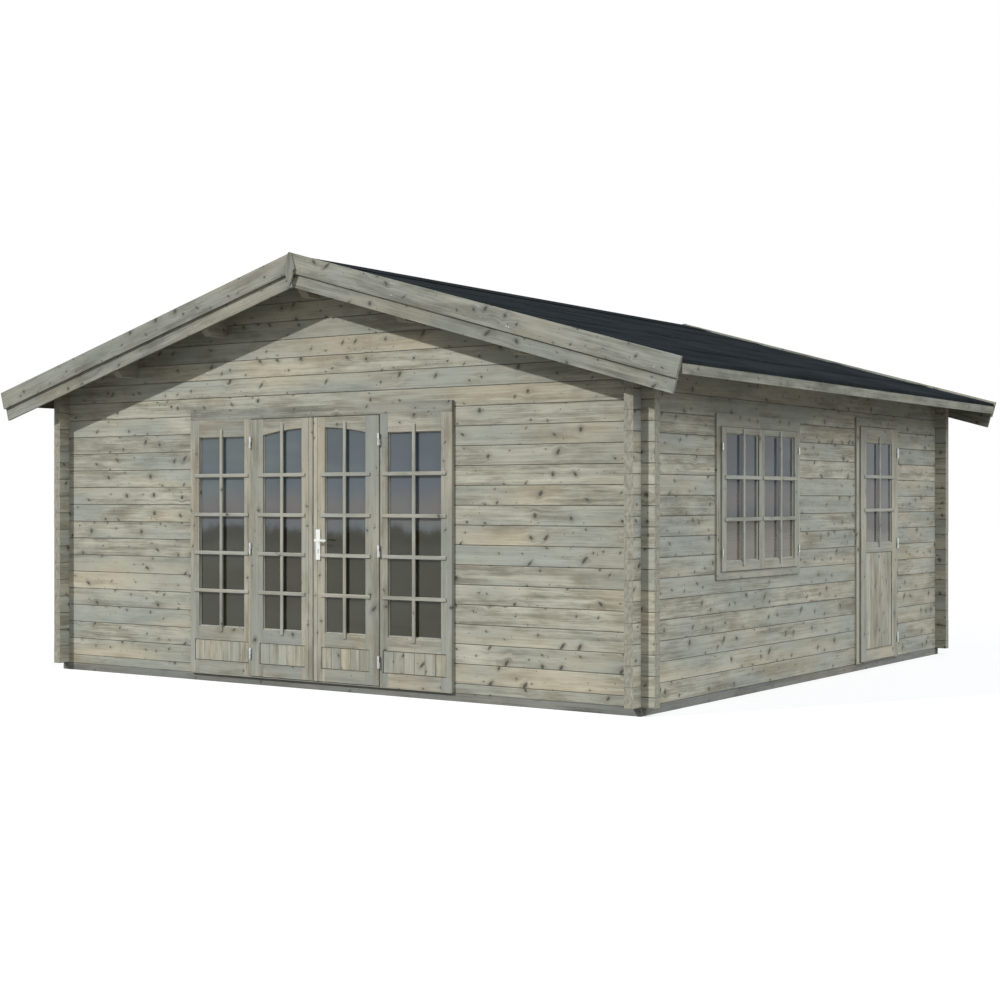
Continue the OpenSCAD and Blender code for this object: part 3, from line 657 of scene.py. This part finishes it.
def metal(name, colour, worn, roughness, uneven=1.0):
    """Plated steel: dull blotches vary its colour and its shine, as far as uneven says."""
    material, shader, place = finish_material(name, roughness, metallic=1.0)
    x, y, z = place.split()
    blot = place.noise(place.join(x * 60.0, y * 60.0, z * 60.0), 3.0, 0.6)
    brush = place.noise(place.join(x * 900.0, y * 900.0, z * 90.0), 1.0)
    feed(shader, "Base Color", (blot * 1.4 * uneven + 0.5).ease(0.1, 0.9).mix(worn, colour))
    feed(shader, "Roughness", (blot * 0.35 + brush * 0.12) * uneven + roughness)
    relief(shader, brush, 0.00015 * uneven)
    return material


zinc = metal("zinc_nails", paint(196, 198, 196), paint(140, 142, 140), 0.45)
clout = metal("weathered_nails", paint(74, 77, 79), paint(44, 47, 49), 0.75)
# Clout nails: their radius and height, their pitch along the roof, and how far their
# rows stand above the lower edges of the strips.
CLOUT, CLOUT_RISE, CLOUT_PITCH, CLOUT_ROW = 0.0055, 0.0009, 0.16, 0.022
nail_y = np.arange(-felt_end + 0.05, felt_end, CLOUT_PITCH)
spots = []
for side in (-1, 1):
    for edge in [CAP_HALF] + [last for _, last in strips]:
        x = np.full(len(nail_y), edge - CLOUT_ROW)
        z = felt_base - ROOF_RISE * x + 2.0 * FELT + 0.0028
        spots.append(np.column_stack([side * x, nail_y, z]))
spots = np.concatenate(spots)
tilt = np.column_stack([np.sign(spots[:, 0]) * ROOF_RISE, np.zeros(len(spots)),
                        np.ones(len(spots))])
piece("felt_nails", stud_heads(spots, tilt, CLOUT, CLOUT_RISE), clout, "cabin")

# ---- Barge boards, finials and fascias ----
# Planed boards nailed over the purlin ends in two layers, a shield plate over their
# joint at each end of the ridge, and one board along each eave.
BARGE_BOARD = 0.0202
trim_dark, trim_light, trim_tint = paint(93, 94, 84), paint(158, 158, 146), paint(130, 136, 130)
barge_face = float(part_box("rear_barge_right")[1].y)


def barge_grain(x, y, z, n):
    """Grain down the roof's slope; the two layers and the two sides are separate."""
    c, s = math.cos(SLOPE), math.sin(SLOPE)
    along = abs(x) * c - z * s
    across = abs(x) * s + z * c
    layer = (abs(y) > barge_face - BARGE_BOARD) * 0.7
    return along, across + layer, y, (x > 0.0) * 11.0 + (y > 0.0) * 23.0, abs(n[0]) > 0.85


dress(wood("barge_wood", barge_grain, trim_dark, trim_light, trim_tint, 0.6, knots=0.75),
      "front_barge_left", "front_barge_right", "rear_barge_left", "rear_barge_right")


def upright_grain(x, y, z, n):
    return z, x + y, y - x, (y > 0.0) * 3.0 + 5.0, abs(n[2]) > END_ON


dress(wood("finial_wood", upright_grain, trim_dark, trim_light, trim_tint, 0.6),
      "ridge_finials")


def fascia_grain(x, y, z, n):
    return y, z + x, x - z, (x > 0.0) * 3.0 + 60.0, abs(n[1]) > END_ON


dress(wood("fascia_wood", fascia_grain, paint(90, 91, 78), paint(153, 152, 138), trim_tint,
           0.4), "eave_fascias")

# Nails stand in two rows down each barge board, at these distances from the ridge and
# below the upper edge, and in one row along each fascia, above its lower edge.
TRIM_NAIL, TRIM_NAIL_RISE = 0.0035, 0.0006
BARGE_RUN, BARGE_ROWS = np.array([0.16, 0.93, 0.95, 1.90, 1.92, 2.62, 3.02]), (0.028, 0.108)
FASCIA_RUN, FASCIA_ROW = np.arange(-2.8, 2.81, 0.7), 0.03
barge_ridge = float(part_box("ridge_finials")[1].z)
nails = []
for side in (-1, 1):
    for front in (-1, 1):
        for row in BARGE_ROWS:
            y = np.full(len(BARGE_RUN), front * barge_face)
            z = barge_ridge - ROOF_RISE * BARGE_RUN - row / math.cos(SLOPE)
            nails.append(np.column_stack([side * BARGE_RUN, y, z]))
nails = np.concatenate(nails)
outwards = np.sign(nails) * [0.0, 1.0, 0.0]
piece("barge_nails", stud_heads(nails, outwards, TRIM_NAIL, TRIM_NAIL_RISE), zinc, "cabin")

fascia_low, fascia_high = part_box("eave_fascias")
nails = np.concatenate([
    np.column_stack([np.full(len(FASCIA_RUN), side * float(fascia_high.x)), FASCIA_RUN,
                     np.full(len(FASCIA_RUN), float(fascia_low.z) + FASCIA_ROW)])
    for side in (-1, 1)])
outwards = np.sign(nails) * [1.0, 0.0, 0.0]
piece("fascia_nails", stud_heads(nails, outwards, TRIM_NAIL, TRIM_NAIL_RISE), zinc, "cabin")

# ---- Front door set ----
# Glued stiles and rails in laminated pine: two door leaves between two fixed
# sidelights, under one head board, with jambs and stops behind them.
set_dark, set_light, set_tint = paint(110, 108, 95), paint(174, 170, 154), paint(134, 140, 134)
leaf_face, sidelight_face = (float(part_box(name)[0].y) for name in ("right_door", "sidelights"))
# The sides of the lights, from the middle of the front.
LEAF_LIGHT, SIDE_LIGHT = (0.113, 0.497), (0.697, 1.172)
# Board numbers picked for the tones that they give the stiles.
LEFT_LEAF, RIGHT_LEAF, SIDELIGHT = 1463.0, 1222.0, 2704.0


def framed_grain(run, rise, deep, number, light):
    """Upright grain in the stiles and level grain in the rails between a light's sides,
    with a number for each piece."""
    rail = (run > light[0]) * (run < light[1])
    along, across = swapped(rail, rise, run)
    upper = (rise > 1.2) * 3.0
    stile = (run > light[1]) * 2.0
    return along, across, deep, number + rail * (5.0 + upper) + (1.0 - rail) * stile


def seams(run, places):
    """Hair lines at the places across where stiles meet rails."""
    seam = None
    for place in places:
        near = abs(run - place).ease(0.0018, 0.0006)
        seam = near if seam is None else seam.math("MAXIMUM", near)
    return seam * 0.55


def set_wood(name, grain, line):
    """Wood of the front door set, whose stiles differ much in tone."""
    return wood(name, grain, set_dark, set_light, set_tint, 0.75, knots=0.45, line=line,
                roughness=0.66, spread=0.36, warmth=0.4)


def leaf_wood(name, sign, number):
    """Wood for the door leaf on one side of the middle."""
    def grain(x, y, z, n):
        run = x * sign
        rail = (run > LEAF_LIGHT[0]) * (run < LEAF_LIGHT[1])
        end = (1.0 - rail) * (abs(n[2]) > END_ON)
        return (*framed_grain(run, z, y, number, LEAF_LIGHT), end)

    return set_wood(name, grain, lambda x, y, z: seams(x * sign, LEAF_LIGHT))


dress(leaf_wood("left_leaf_wood", -1.0, LEFT_LEAF), "left_door")
dress(leaf_wood("right_leaf_wood", 1.0, RIGHT_LEAF), "right_door")


def sidelight_grain(x, y, z, n):
    along, across, deep, board = framed_grain(abs(x), z, y, SIDELIGHT, SIDE_LIGHT)
    return along, across, deep, board + (x > 0.0) * 20.0, abs(n[2]) > END_ON


dress(set_wood("sidelight_wood", sidelight_grain, lambda x, y, z: seams(abs(x), SIDE_LIGHT)),
      "sidelights")


def casing_grain(run, rise, deep, n_run, n_rise, foot, head):
    """Uprights stand between foot and head, and level pieces lie below and above them.
    Gives where the pieces are level in place of a number for each."""
    level = ((rise > head) + (rise < foot)).math("MINIMUM", 1.0)
    along, across = swapped(level, rise, run)
    end = level * abs(n_run) + (1.0 - level) * abs(n_rise)
    return along, across + deep, deep - across, level, end > END_ON


def frame_grain(x, y, z, n):
    """Jambs and posts stand up; head, sill and stops lie along X."""
    along, across, through, level, end = casing_grain(
        x, z, y, n[0], n[2], foot=0.115, head=1.99)
    return along, across, through, level * 3.0 + (x > 0.0) * (1.0 - level) + 480.0, end


dress(wood("door_frame_wood", frame_grain, paint(100, 100, 89), paint(160, 158, 145),
           set_tint, 0.35), "door_frame")


def mirrored(shape, sign):
    """A shape on the right of the middle, or with sign -1 its image on the left."""
    return shape[0] * [sign, 1, 1], shape[1]


# Panel boards: the gap round them, half the joint between two, their bevel, and how
# far behind a frame's face they start and end.
PANEL_GAP, BOARD_JOINT, BOARD_BEVEL = 0.0035, 0.0004, 0.0028
BOARD_DEPTH = np.array([0.0045, 0.0118])


def panel_boards(across, up, face, count):
    """Upright boards side by side with bevelled edges, in an opening between its limits
    across and up, behind a frame's face."""
    edge = np.linspace(across[0] + PANEL_GAP, across[1] - PANEL_GAP, count + 1)
    front, back = BOARD_DEPTH + face
    low = np.column_stack([edge[:-1] + BOARD_JOINT, np.full(count, front),
                           np.full(count, up[0] + PANEL_GAP)])
    high = np.column_stack([edge[1:] - BOARD_JOINT, np.full(count, back),
                            np.full(count, up[1] - PANEL_GAP)])
    return chamfered(low, high, BOARD_BEVEL)


def board_wood(name, axis, across, count, number):
    """Wood for such boards, which stand side by side along X (axis 0) or Y (axis 1)."""
    begin = across[0] + PANEL_GAP
    step = (across[1] - across[0] - 2 * PANEL_GAP) / count

    def grain(x, y, z, n):
        run, deep = (abs(x), y) if axis == 0 else (y, x)
        board = ((run - begin) / step).math("FLOOR") + (x > 0.0) * 31.0 + number
        return z, run, deep, board, abs(n[2]) > END_ON

    return wood(name, grain, paint(117, 113, 97), paint(187, 182, 164), paint(141, 147, 140),
                0.6, knots=0.35, roughness=0.68, spread=0.22)


PANEL_Z = (0.162, 0.325)
LEAF_PANEL, SIDE_PANEL = (0.080, 0.533), (0.651, 1.218)
LEAF_BOARDS, SIDE_BOARDS = 5, 6
leaf_boards_wood = board_wood("leaf_panel_wood", 0, LEAF_PANEL, LEAF_BOARDS, 500.0)
side_boards_wood = board_wood("sidelight_panel_wood", 0, SIDE_PANEL, SIDE_BOARDS, 560.0)
for sign, word in SIDES:
    boards = panel_boards(LEAF_PANEL, PANEL_Z, leaf_face, LEAF_BOARDS)
    piece(word + "_door_panel", mirrored(boards, sign), leaf_boards_wood, word + "_leaf")
    boards = panel_boards(SIDE_PANEL, PANEL_Z, sidelight_face, SIDE_BOARDS)
    piece(word + "_sidelight_panel", mirrored(boards, sign), side_boards_wood, "cabin")

# Glazing bars: their width and bevel, how far the level ones lie back so that they let
# in flush, and how far from a frame's face they start and end.
BAR, BAR_BEVEL, BAR_BACK = 0.028, 0.003, 0.0006
BAR_DEPTH = np.array([-0.0095, 0.0002])


def bar_grid(upright, levels, run, rise, face):
    """Crossing bars with bevelled edges: an upright one at its place across, level ones
    at their heights, between limits across and up."""
    front, back = BAR_DEPTH + face
    low = [[upright - BAR / 2, front, rise[0]]]
    high = [[upright + BAR / 2, back, rise[1]]]
    low += [[run[0], front + BAR_BACK, v - BAR / 2] for v in levels]
    high += [[run[1], back, v + BAR / 2] for v in levels]
    return chamfered(low, high, BAR_BEVEL)


def widened(limits, before, after):
    """A light's limits, moved out as far as its bars run on over the frame."""
    return limits[0] - before, limits[1] + after


def bar_wood(name, levels, axis):
    """Wood for bars and beads: level grain within half a bar of the level bars and
    upright grain elsewhere, in a frame that lies along X (axis 0) or Y (axis 1)."""
    def grain(x, y, z, n):
        level = None
        for v in levels:
            near = abs(z - v) < BAR / 2 + 0.0005
            level = near if level is None else level.math("MAXIMUM", near)
        run, deep = (x, y) if axis == 0 else (y, x)
        along, across = swapped(level, z, run)
        board = level * ((z * 9.0).math("FLOOR") + 2.0) + (run > 0.0) + 600.0
        return along, across, deep, board, z * 0.0

    return wood(name, grain, paint(124, 124, 113), paint(171, 170, 158), paint(146, 150, 145),
                0.4, knots=0.2, roughness=0.6)


LEAF_BAR, SIDE_BAR = 0.305, 0.9345
LIGHT_FOOT, LEAF_HEAD, SIDE_HEAD = 0.427, 1.945, 1.892
front_levels = (0.706, 0.999, 1.293, 1.594)
front_bar_wood = bar_wood("front_bar_wood", front_levels, 0)
for sign, word in SIDES:
    grid = bar_grid(LEAF_BAR, front_levels, widened(LEAF_LIGHT, 0.036, 0.046),
                    widened((LIGHT_FOOT, LEAF_HEAD), 0.035, 0.035), leaf_face)
    piece(word + "_door_bars", mirrored(grid, sign), front_bar_wood, word + "_leaf")
    grid = bar_grid(SIDE_BAR, front_levels, widened(SIDE_LIGHT, 0.046, 0.046),
                    widened((LIGHT_FOOT, SIDE_HEAD), 0.035, 0.055), sidelight_face)
    piece(word + "_sidelight_bars", mirrored(grid, sign), front_bar_wood, "cabin")

# Glazing beads: their width, how far they sink into the frame's edge, and how far
# behind the face of a leaf or of a fixed frame they rest on the glass.
BEAD, BEAD_SINK = 0.009, 0.0005
LEAF_BEAD, CASING_BEAD = 0.0158, 0.0188
ARCH = 2.651


def bead(corners, plane):
    """A quarter-round strip carried round a closed path of corners, in front of a plane
    of the frame. Each ring of the strip stands on the corner's mitre."""
    path = np.asarray(corners, float)
    into, out = path - np.roll(path, 1, 0), np.roll(path, -1, 0) - path
    into /= np.linalg.norm(into, axis=1, keepdims=True)
    out /= np.linalg.norm(out, axis=1, keepdims=True)
    normal_in = np.column_stack([-into[:, 1], into[:, 0]])
    normal_out = np.column_stack([-out[:, 1], out[:, 0]])
    mitre = normal_in + normal_out
    mitre /= (1.0 + (normal_in * normal_out).sum(1))[:, None]
    turn = np.linspace(0.0, math.pi / 2, 5)
    profile = [(0.0, 0.0)] + [(BEAD * math.cos(t), BEAD * math.sin(t)) for t in turn]
    rings = np.array([[(*(p + m * (a - BEAD_SINK)), d) for a, d in profile]
                      for p, m in zip(path, mitre)])
    count, around, _ = rings.shape
    i, j = np.meshgrid(np.arange(count), np.arange(around), indexing="ij")
    a, b = i * around + j, i * around + (j + 1) % around
    c, d = (a + around) % (count * around), (b + around) % (count * around)
    flat = rings.reshape(-1, 3)
    points = np.column_stack([flat[:, 0], plane - flat[:, 2], flat[:, 1]])
    return points, np.stack([a, b, d, c], -1).reshape(-1, 4).tolist()


def light_outline(x0, x1, z0, z1, radius=0.0):
    """The corners of a light, anticlockwise; with a radius its head is an arc about
    x = 0 whose crown is at z1."""
    if not radius:
        return [(x0, z0), (x1, z0), (x1, z1), (x0, z1)]
    x = np.linspace(x1, x0, 17)
    z = z1 - radius + np.sqrt(radius ** 2 - x * x)
    return [(x0, z0), (x1, z0)] + list(zip(x, z))


for sign, word in SIDES:
    strip = bead(light_outline(*LEAF_LIGHT, LIGHT_FOOT, LEAF_HEAD, ARCH), leaf_face + LEAF_BEAD)
    piece(word + "_door_beads", mirrored(strip, sign), front_bar_wood, word + "_leaf",
          smooth=40)
    strip = bead(light_outline(*SIDE_LIGHT, LIGHT_FOOT, SIDE_HEAD), sidelight_face + CASING_BEAD)
    piece(word + "_sidelight_beads", mirrored(strip, sign), front_bar_wood, "cabin",
          smooth=40)


# Panes: clear float glass, whose colour is a painted reflection of a pale sky over a dark line
# of trees.
def painted_reflection_glass(name, low_tone, high_tone, turn):
    """Glass with a painted reflection in its colour, by height: high_tone sky above turn, with
    soft clouds and level bands, a warm haze over a ragged dark tree line at turn, and low_tone
    below it, crossed by faint painted log lines 88 mm apart."""
    material, shader, place = finish_material(name, 0.03, ior=1.5)
    x, y, z = place.split()
    # All the colour below is painted reflection of sky, clouds, haze, trees and ground, with
    # painted log lines seen in the glass.
    slow = place.noise(place.join(x * 1.3, y * 1.3, z * 2.1), 3.0, 0.55)
    ragged = place.noise(place.join(x * 5.5, y * 5.5, z * 2.0), 4.0, 0.65)
    height = z + slow * 0.14 + ragged * 0.20
    colour = height.ease(turn - 0.05, turn + 0.05).mix(low_tone, high_tone)
    clouds = (slow * 3.2 + 0.5).ease(0.1, 0.9)
    colour = ((1.0 - clouds) * 0.40).mix(colour, darker(high_tone, 0.68))
    bands = place.noise(place.join(x * 0.9 + 3.0, y * 0.9, z * 4.5), 2.0)
    colour = ((bands * 3.4 + 0.1).ease(0.0, 1.0) * 0.45).mix(colour, paint(118, 126, 122))
    colour = ((0.1 - bands * 3.4).ease(0.0, 1.0) * 0.40).mix(colour, paint(100, 98, 110))
    haze = 1.0 - abs(height - turn - 0.17).ease(0.0, 0.20)
    colour = (haze * 0.50).mix(colour, paint(128, 118, 110))
    below = height.ease(turn + 0.03, turn - 0.03)
    colour = (below * 0.75).mix(colour, low_tone)
    trees = 1.0 - abs(height - turn + 0.05).ease(0.02, 0.12)
    colour = (trees * 0.55).mix(colour, darker(low_tone, 0.50))
    logs = (((z - SIDE_START) / 0.088) % 1.0).ease(0.14, 0.0) * (z < turn) * 0.30
    colour = logs.mix(colour, darker(low_tone, 0.50))
    feed(shader, "Base Color", colour)
    shader.inputs["Alpha"].default_value = 0.80
    wave = place.noise(place.join(x * 4.0, y * 4.0, z * 3.0), 1.0)
    relief(shader, wave, 0.0012)
    return material


front_glass = painted_reflection_glass("front_glass", paint(62, 61, 43), paint(98, 109, 115), 1.18)
dress(front_glass, "left_door_glass", "right_door_glass", "sidelight_glass")


# ---- Side door ----
# One leaf with a light above and upright boards below, in a plain casing.
DOOR_STILE, DOOR_RAIL, DOOR_LIGHT_FOOT = 0.110, 0.1265, 1.045
DOOR_PANEL_Z, DOOR_BOARDS = (0.163, 0.970), 6
side_leaf_low, side_leaf_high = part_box("side_door")
side_face = -float(side_leaf_high.x)
DOOR_LIGHT = (float(side_leaf_low.y) + DOOR_STILE, float(side_leaf_high.y) - DOOR_STILE)
DOOR_LIGHT_Z = (DOOR_LIGHT_FOOT, float(side_leaf_high.z) - DOOR_RAIL)


def side_door_grain(x, y, z, n):
    return (*framed_grain(y, z, x, 700.0, DOOR_LIGHT), abs(n[2]) > END_ON)


side_dark, side_light = paint(122, 119, 104), paint(184, 180, 163)
dress(wood("side_door_wood", side_door_grain, side_dark, side_light, set_tint, 0.5, knots=0.45,
           line=lambda x, y, z: seams(y, DOOR_LIGHT), roughness=0.66), "side_door")


def side_frame_grain(x, y, z, n):
    """Casing uprights stand; head, sill and stops lie along Y."""
    along, across, through, level, end = casing_grain(
        y, z, x, n[1], n[2], foot=0.11, head=2.0168)
    return along, across, through, level * 3.0 + (y > 1.3) + 720.0, end


dress(wood("side_frame_wood", side_frame_grain, side_dark, side_light, set_tint, 0.5),
      "side_door_frame")


def on_side(shape):
    """Turns a shape drawn for a front wall, with its outside at -Y, to the +X wall."""
    points, faces = shape
    points = np.asarray(points)
    return np.column_stack([-points[:, 1], points[:, 0], points[:, 2]]), faces


side_board_wood = board_wood("side_panel_wood", 1, DOOR_LIGHT, DOOR_BOARDS, 740.0)
boards = panel_boards(DOOR_LIGHT, DOOR_PANEL_Z, side_face, DOOR_BOARDS)
piece("side_door_panel", on_side(boards), side_board_wood, "side_leaf")
side_levels = (1.322, 1.599)
side_bar_wood = bar_wood("side_bar_wood", side_levels, 1)
grid = bar_grid(sum(DOOR_LIGHT) / 2, side_levels, widened(DOOR_LIGHT, 0.046, 0.046),
                widened(DOOR_LIGHT_Z, 0.03, 0.05), side_face)
piece("side_door_bars", on_side(grid), side_bar_wood, "side_leaf")
strip = bead(light_outline(*DOOR_LIGHT, *DOOR_LIGHT_Z), side_face + LEAF_BEAD)
piece("side_door_beads", on_side(strip), side_bar_wood, "side_leaf", smooth=40)
side_glass = painted_reflection_glass("side_glass", paint(110, 107, 98), paint(88, 94, 96), 1.26)
dress(side_glass, "side_door_glass")

# ---- Side window ----
# Two glazed sashes side by side in a plain casing, hung on its outer uprights.
SASH_STILE, SASH_MIDDLE = 0.067, 0.0465
sash_low, sash_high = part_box("window_sashes")
sash_face = -float(sash_high.x)
window_mid = float(sash_low.y + sash_high.y) / 2
LEFT_LIGHT = (float(sash_low.y) + SASH_STILE, window_mid - SASH_MIDDLE)
RIGHT_LIGHT = (window_mid + SASH_MIDDLE, float(sash_high.y) - SASH_STILE)
LIGHT_Z = (0.970, 1.880)
SILL_TOP, HEAD_UNDER = 0.900, 1.925


def window_grain(x, y, z, n):
    """Head and sill lie along Y, uprights stand."""
    level = ((z > HEAD_UNDER) + (z < SILL_TOP)).math("MINIMUM", 1.0)
    along, across = swapped(level, z, y)
    return along, across, x, level * 3.0 + (y > window_mid) + (z > 1.5) * level + 760.0, z * 0.0


def sash_grain(x, y, z, n):
    """Rails lie between the stiles of each sash."""
    left = (y > LEFT_LIGHT[0]) * (y < LEFT_LIGHT[1])
    rail = left + (y > RIGHT_LIGHT[0]) * (y < RIGHT_LIGHT[1])
    along, across = swapped(rail, z, y)
    stile = (y > LEFT_LIGHT[1]) + (y > window_mid) + (y > RIGHT_LIGHT[1])
    return along, across, x, stile + rail * ((z > 1.4) * 4.0 + 6.0) + 780.0, z * 0.0


dress(wood("window_frame_wood", window_grain, side_dark, side_light, set_tint, 0.5),
      "window_frame")
dress(wood("sash_wood", sash_grain, paint(112, 111, 98), paint(170, 168, 153), set_tint, 0.5,
           knots=0.4, line=lambda x, y, z: seams(y, LEFT_LIGHT + RIGHT_LIGHT), roughness=0.66),
      "window_sashes")
LEFT_BAR, RIGHT_BAR = -1.299, -0.682
window_levels = (1.269, 1.567)
window_bar_wood = bar_wood("window_bar_wood", window_levels, 1)
grids = [bar_grid(upright, window_levels, widened(light, 0.030, 0.030),
                  widened(LIGHT_Z, 0.035, 0.035), sash_face)
         for upright, light in ((LEFT_BAR, LEFT_LIGHT), (RIGHT_BAR, RIGHT_LIGHT))]
piece("window_bars", on_side(joined(*grids)), window_bar_wood, "cabin")
beads = [bead(light_outline(*light, *LIGHT_Z), sash_face + CASING_BEAD)
         for light in (LEFT_LIGHT, RIGHT_LIGHT)]
piece("window_beads", on_side(joined(*beads)), window_bar_wood, "cabin", smooth=40)
window_glass = painted_reflection_glass("window_glass", paint(119, 113, 99), paint(77, 85, 88), 1.26)
dress(window_glass, "window_glass")

# ---- Hinges and handle ----
# Zinc-plated screw-in hinges, and a lever on a long plate of white bronze, with a key
# cylinder below the lever and a screw at each end of the plate.
hinge_metal = metal("hinge_zinc", paint(214, 216, 214), paint(164, 166, 164), 0.38)
dress(hinge_metal, "left_door_hinges", "right_door_hinges", "side_door_hinges",
      "frame_hinges", "window_hinges")
plate_metal = metal("handle_silver", paint(222, 224, 219), paint(196, 199, 194), 0.42, 0.5)
dress(plate_metal, "handle_plate", "lever_handle")

plate_low, plate_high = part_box("handle_plate")
PLATE_FACE = float(plate_low.y)
plate_x = float(plate_low.x + plate_high.x) / 2
BARREL, BARREL_Z = 0.0085, 1.0375
TONGUE, TONGUE_Z = 0.005, 1.0140
SCREW_Z = (1.178, 0.976)


def key_cylinder():
    """A round barrel over a flat tongue, as a closed outline pushed out of the plate.
    Its last ring is a little smaller, which rounds the rim."""
    head = [(plate_x + BARREL * math.cos(t), BARREL_Z + BARREL * math.sin(t))
            for t in np.linspace(math.radians(-55), math.radians(235), 18)]
    foot = [(plate_x - TONGUE, TONGUE_Z), (plate_x + TONGUE, TONGUE_Z)]
    outline = np.array(head + foot)
    middle = outline.mean(0)
    rings = []
    for share, deep in ((1.0, 0.001), (1.0, -0.0022), (0.93, -0.0030)):
        scaled = middle + (outline - middle) * share
        y = np.full(len(scaled), PLATE_FACE + deep)
        rings.append(np.column_stack([scaled[:, 0], y, scaled[:, 1]]))
    return loft(np.array(rings))


piece("key_cylinder", key_cylinder(), hinge_metal, "right_leaf", smooth=30)
screws = [[plate_x, PLATE_FACE, z] for z in SCREW_Z]
heads = stud_heads(screws, [0.0, -1.0, 0.0], radius=0.0042, height=0.0011, sides=16)
piece("plate_screws", heads, hinge_metal, "right_leaf", smooth=40)
